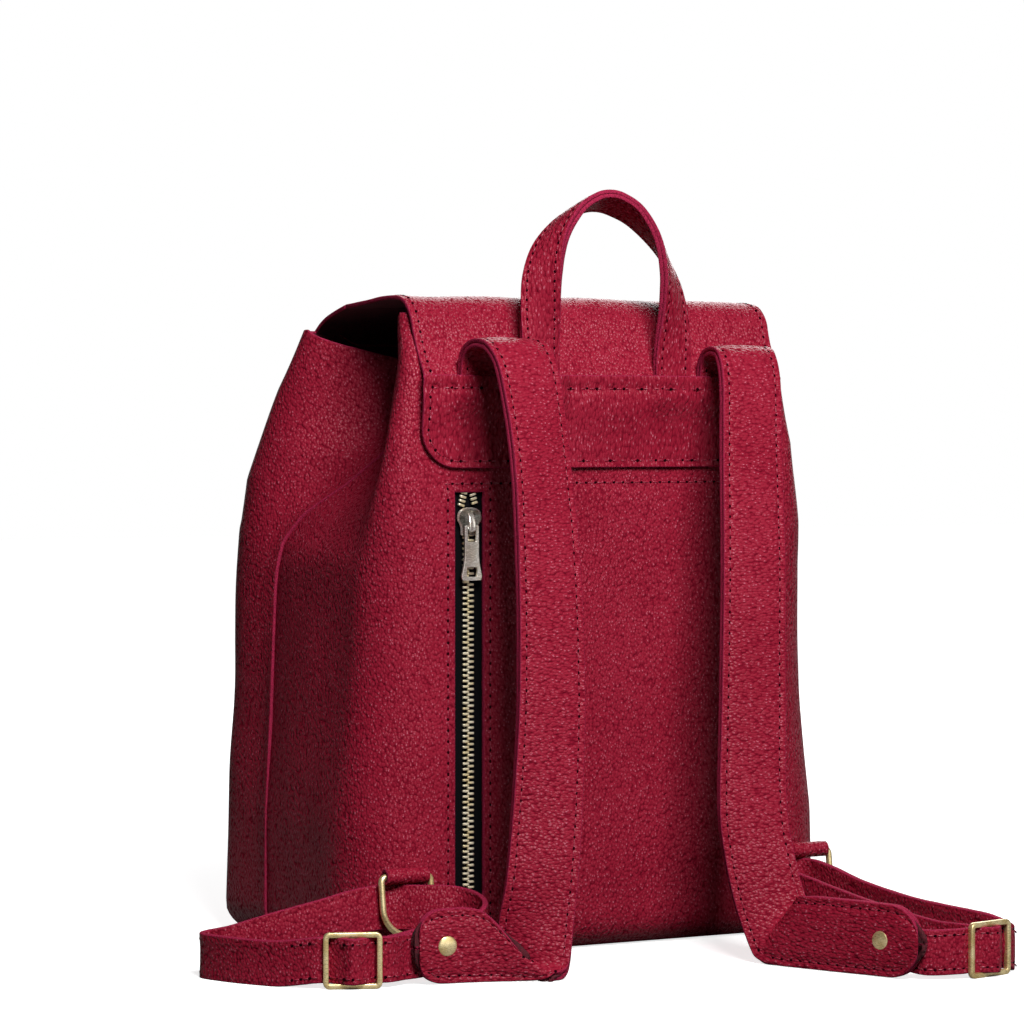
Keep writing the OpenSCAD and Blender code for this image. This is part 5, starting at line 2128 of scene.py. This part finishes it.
def plate(outline: Array, place: tuple, thick: float, bevel: float) -> tuple[Array, list]:
    """Makes a plate with bevelled edges.

    Args:
        outline: its outline as (x, z), about place.
        place: where the outline's origin lies; its y is the plate's front.
        thick: thickness of the plate.
        bevel: depth of the bevel.

    Returns:
        Its points and faces.
    """
    centre = outline.mean(axis=0)
    rings = ((0.0, 1 - bevel / 4), (bevel * 0.3, 1 - bevel / 14), (bevel, 1.0), (thick, 1.0))
    points = []
    for depth, share in rings:
        for p in outline:
            q = centre + (p - centre) * share
            points.append((place[0] + q[0], place[1] - depth, place[2] + q[1]))
    n = len(outline)
    last = (len(rings) - 1) * n
    faces = [*turned_hoops(len(rings), n), tuple(reversed(range(n))), tuple(last + k for k in range(n))]
    return np.array(points), faces


def pierced_plate(
    name: str, outline: Array, windows: list, place: tuple, thick: float, material: Any
) -> Object:
    """A plate with windows and rounded edges, centred on place's y, as a plain mesh.

    Args:
        name: the piece's name.
        outline: its outline as (x, z).
        windows: outlines of its holes.
        place: where the outline's origin lies.
        thick: its thickness.
        material: its metal.

    Returns:
        The linked object.
    """
    curve = bpy.data.curves.new(name + "_guide", "CURVE")
    curve.dimensions = "2D"
    curve.fill_mode = "BOTH"
    curve.extrude = (thick / 2 - 0.25) * MM
    curve.bevel_depth = 0.25 * MM
    curve.bevel_resolution = 2
    curve.offset = -0.25 * MM
    for loop in [outline, *windows]:
        spline = curve.splines.new("POLY")
        spline.points.add(len(loop) - 1)
        spline.use_cyclic_u = True
        for target, (u, v) in zip(spline.points, loop):
            target.co = (u * MM, v * MM, 0.0, 1.0)
    mesh = taken_mesh(linked(name + "_guide", curve))
    co = np.array([v.co for v in mesh.vertices])
    turned = np.column_stack([co[:, 0], -co[:, 2], co[:, 1]]) + np.array(place) * MM
    mesh.vertices.foreach_set("co", turned.astype(np.float32).ravel())
    mesh.materials.clear()
    mesh.materials.append(material)
    return linked(name, mesh)


# ---- stage ----


@dataclass
class Studio:
    """White sweep, softboxes and camera."""

    camera_at: tuple = (0.850, 1.547, 0.244)
    forward: tuple = (-0.4773, -0.8791, -0.0226)
    lens: float = 127.3
    key_w: float = 19.5
    rim_w: float = 9.0
    room_grey: float = 0.02
    floor_grey: str = "#606060"
    floor_white: str = "#f2f2f2"

    def floor(self) -> None:
        """A pale floor that reads white to the camera and still takes a soft shadow."""
        material, tree, place = new_material("white sweep")
        path = put(tree, "ShaderNodeLightPath")
        camera, mirror = path.outputs["Is Camera Ray"], path.outputs["Is Glossy Ray"]
        seen = maths(tree, "MULTIPLY_ADD", mirror, 0.35, camera)
        paint = blend_colour(tree, seen, self.floor_grey, self.floor_white)
        cloth = put(tree, "ShaderNodeBsdfDiffuse", {"Color": paint})
        away = vectors(tree, "LENGTH", place).outputs["Value"]
        level = ramp(tree, away, 400.0, 1500.0, 0.76, 1.0)
        glow = put(tree, "ShaderNodeEmission", {"Color": (1, 1, 1, 1), "Strength": level})
        both = put(tree, "ShaderNodeAddShader", {0: cloth, 1: glow})
        mix = put(tree, "ShaderNodeMixShader", {0: camera, 1: cloth, 2: both})
        surface(tree, mix)
        reach = 6000.0
        corners = [(-reach, -reach, 0), (reach, -reach, 0), (reach, reach, 0), (-reach, reach, 0)]
        mesh_object("floor", np.array(corners), [(0, 1, 2, 3)], [material])

    def world(self) -> None:
        """White to the camera; metal mirrors a backdrop, a card before the bag and a dim room."""
        world = bpy.data.worlds.new("studio")
        bpy.context.scene.world = world
        world.use_nodes = True
        tree = world.node_tree
        tree.nodes.clear()
        way = put(tree, "ShaderNodeTexCoord").outputs["Generated"]
        path = put(tree, "ShaderNodeLightPath").outputs
        behind_bag = vectors(tree, "DOT_PRODUCT", way, (-0.68, -0.73, 0.0)).outputs["Value"]
        backdrop = ramp(tree, behind_bag, 0.7, 0.98, self.room_grey, 0.8)
        before_bag = vectors(tree, "DOT_PRODUCT", way, (-0.2, 0.96, 0.2)).outputs["Value"]
        card = ramp(tree, before_bag, 0.65, 0.88, 0.06, 1.4)
        level = maths(tree, "MULTIPLY_ADD", path["Is Glossy Ray"], card, backdrop)
        strength = maths(tree, "MAXIMUM", path["Is Camera Ray"], level)
        back = put(tree, "ShaderNodeBackground", {"Color": (1, 1, 1, 1), "Strength": strength})
        put(tree, "ShaderNodeOutputWorld", {"Surface": back})

    def light(self, name: str, place: tuple, size: float, power: float) -> None:
        """A softbox that faces the backpack."""
        lamp = bpy.data.lights.new(name, "AREA")
        lamp.size = size
        lamp.energy = power
        obj = linked(name, lamp)
        obj.location = place
        aim = Vector((0.0, 0.05, 0.16)) - Vector(place)
        obj.rotation_euler = aim.to_track_quat("-Z", "Y").to_euler()

    def camera(self) -> None:
        """The main camera."""
        data = bpy.data.cameras.new("main")
        data.lens = self.lens
        data.sensor_width = 36.0
        data.clip_end = 30.0
        obj = linked("main", data)
        obj.location = self.camera_at
        obj.rotation_euler = Vector(self.forward).to_track_quat("-Z", "Y").to_euler()
        bpy.context.scene.camera = obj

    def build(self) -> None:
        """Sets up the stage."""
        self.floor()
        self.world()
        self.light("key", (0.22, 1.0, 1.0), 0.5, self.key_w)
        self.light("rim", (-0.9, -1.1, 0.9), 1.0, self.rim_w)
        self.camera()
        bpy.context.scene.view_settings.view_transform = "Standard"


def main() -> None:
    """Builds every piece, the stage and the camera."""
    logging.basicConfig(level=logging.INFO, format="%(message)s")
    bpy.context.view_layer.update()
    palette = make_palette()
    sewing = Sewing(palette, stitch_tree())
    BodyShell(palette, sewing).build()
    Yoke(palette, sewing).build()
    Flap(palette, sewing).build()
    Handle(palette, sewing).build()
    for side in Side:
        ShoulderStrap(palette, sewing, side).build()
        LowerStrap(palette, sewing, side).build()
    BrassWork(palette, sewing).build()
    BackZip(palette, tooth_tree()).build()
    Studio().build()


if __name__ == "__main__":
    main()
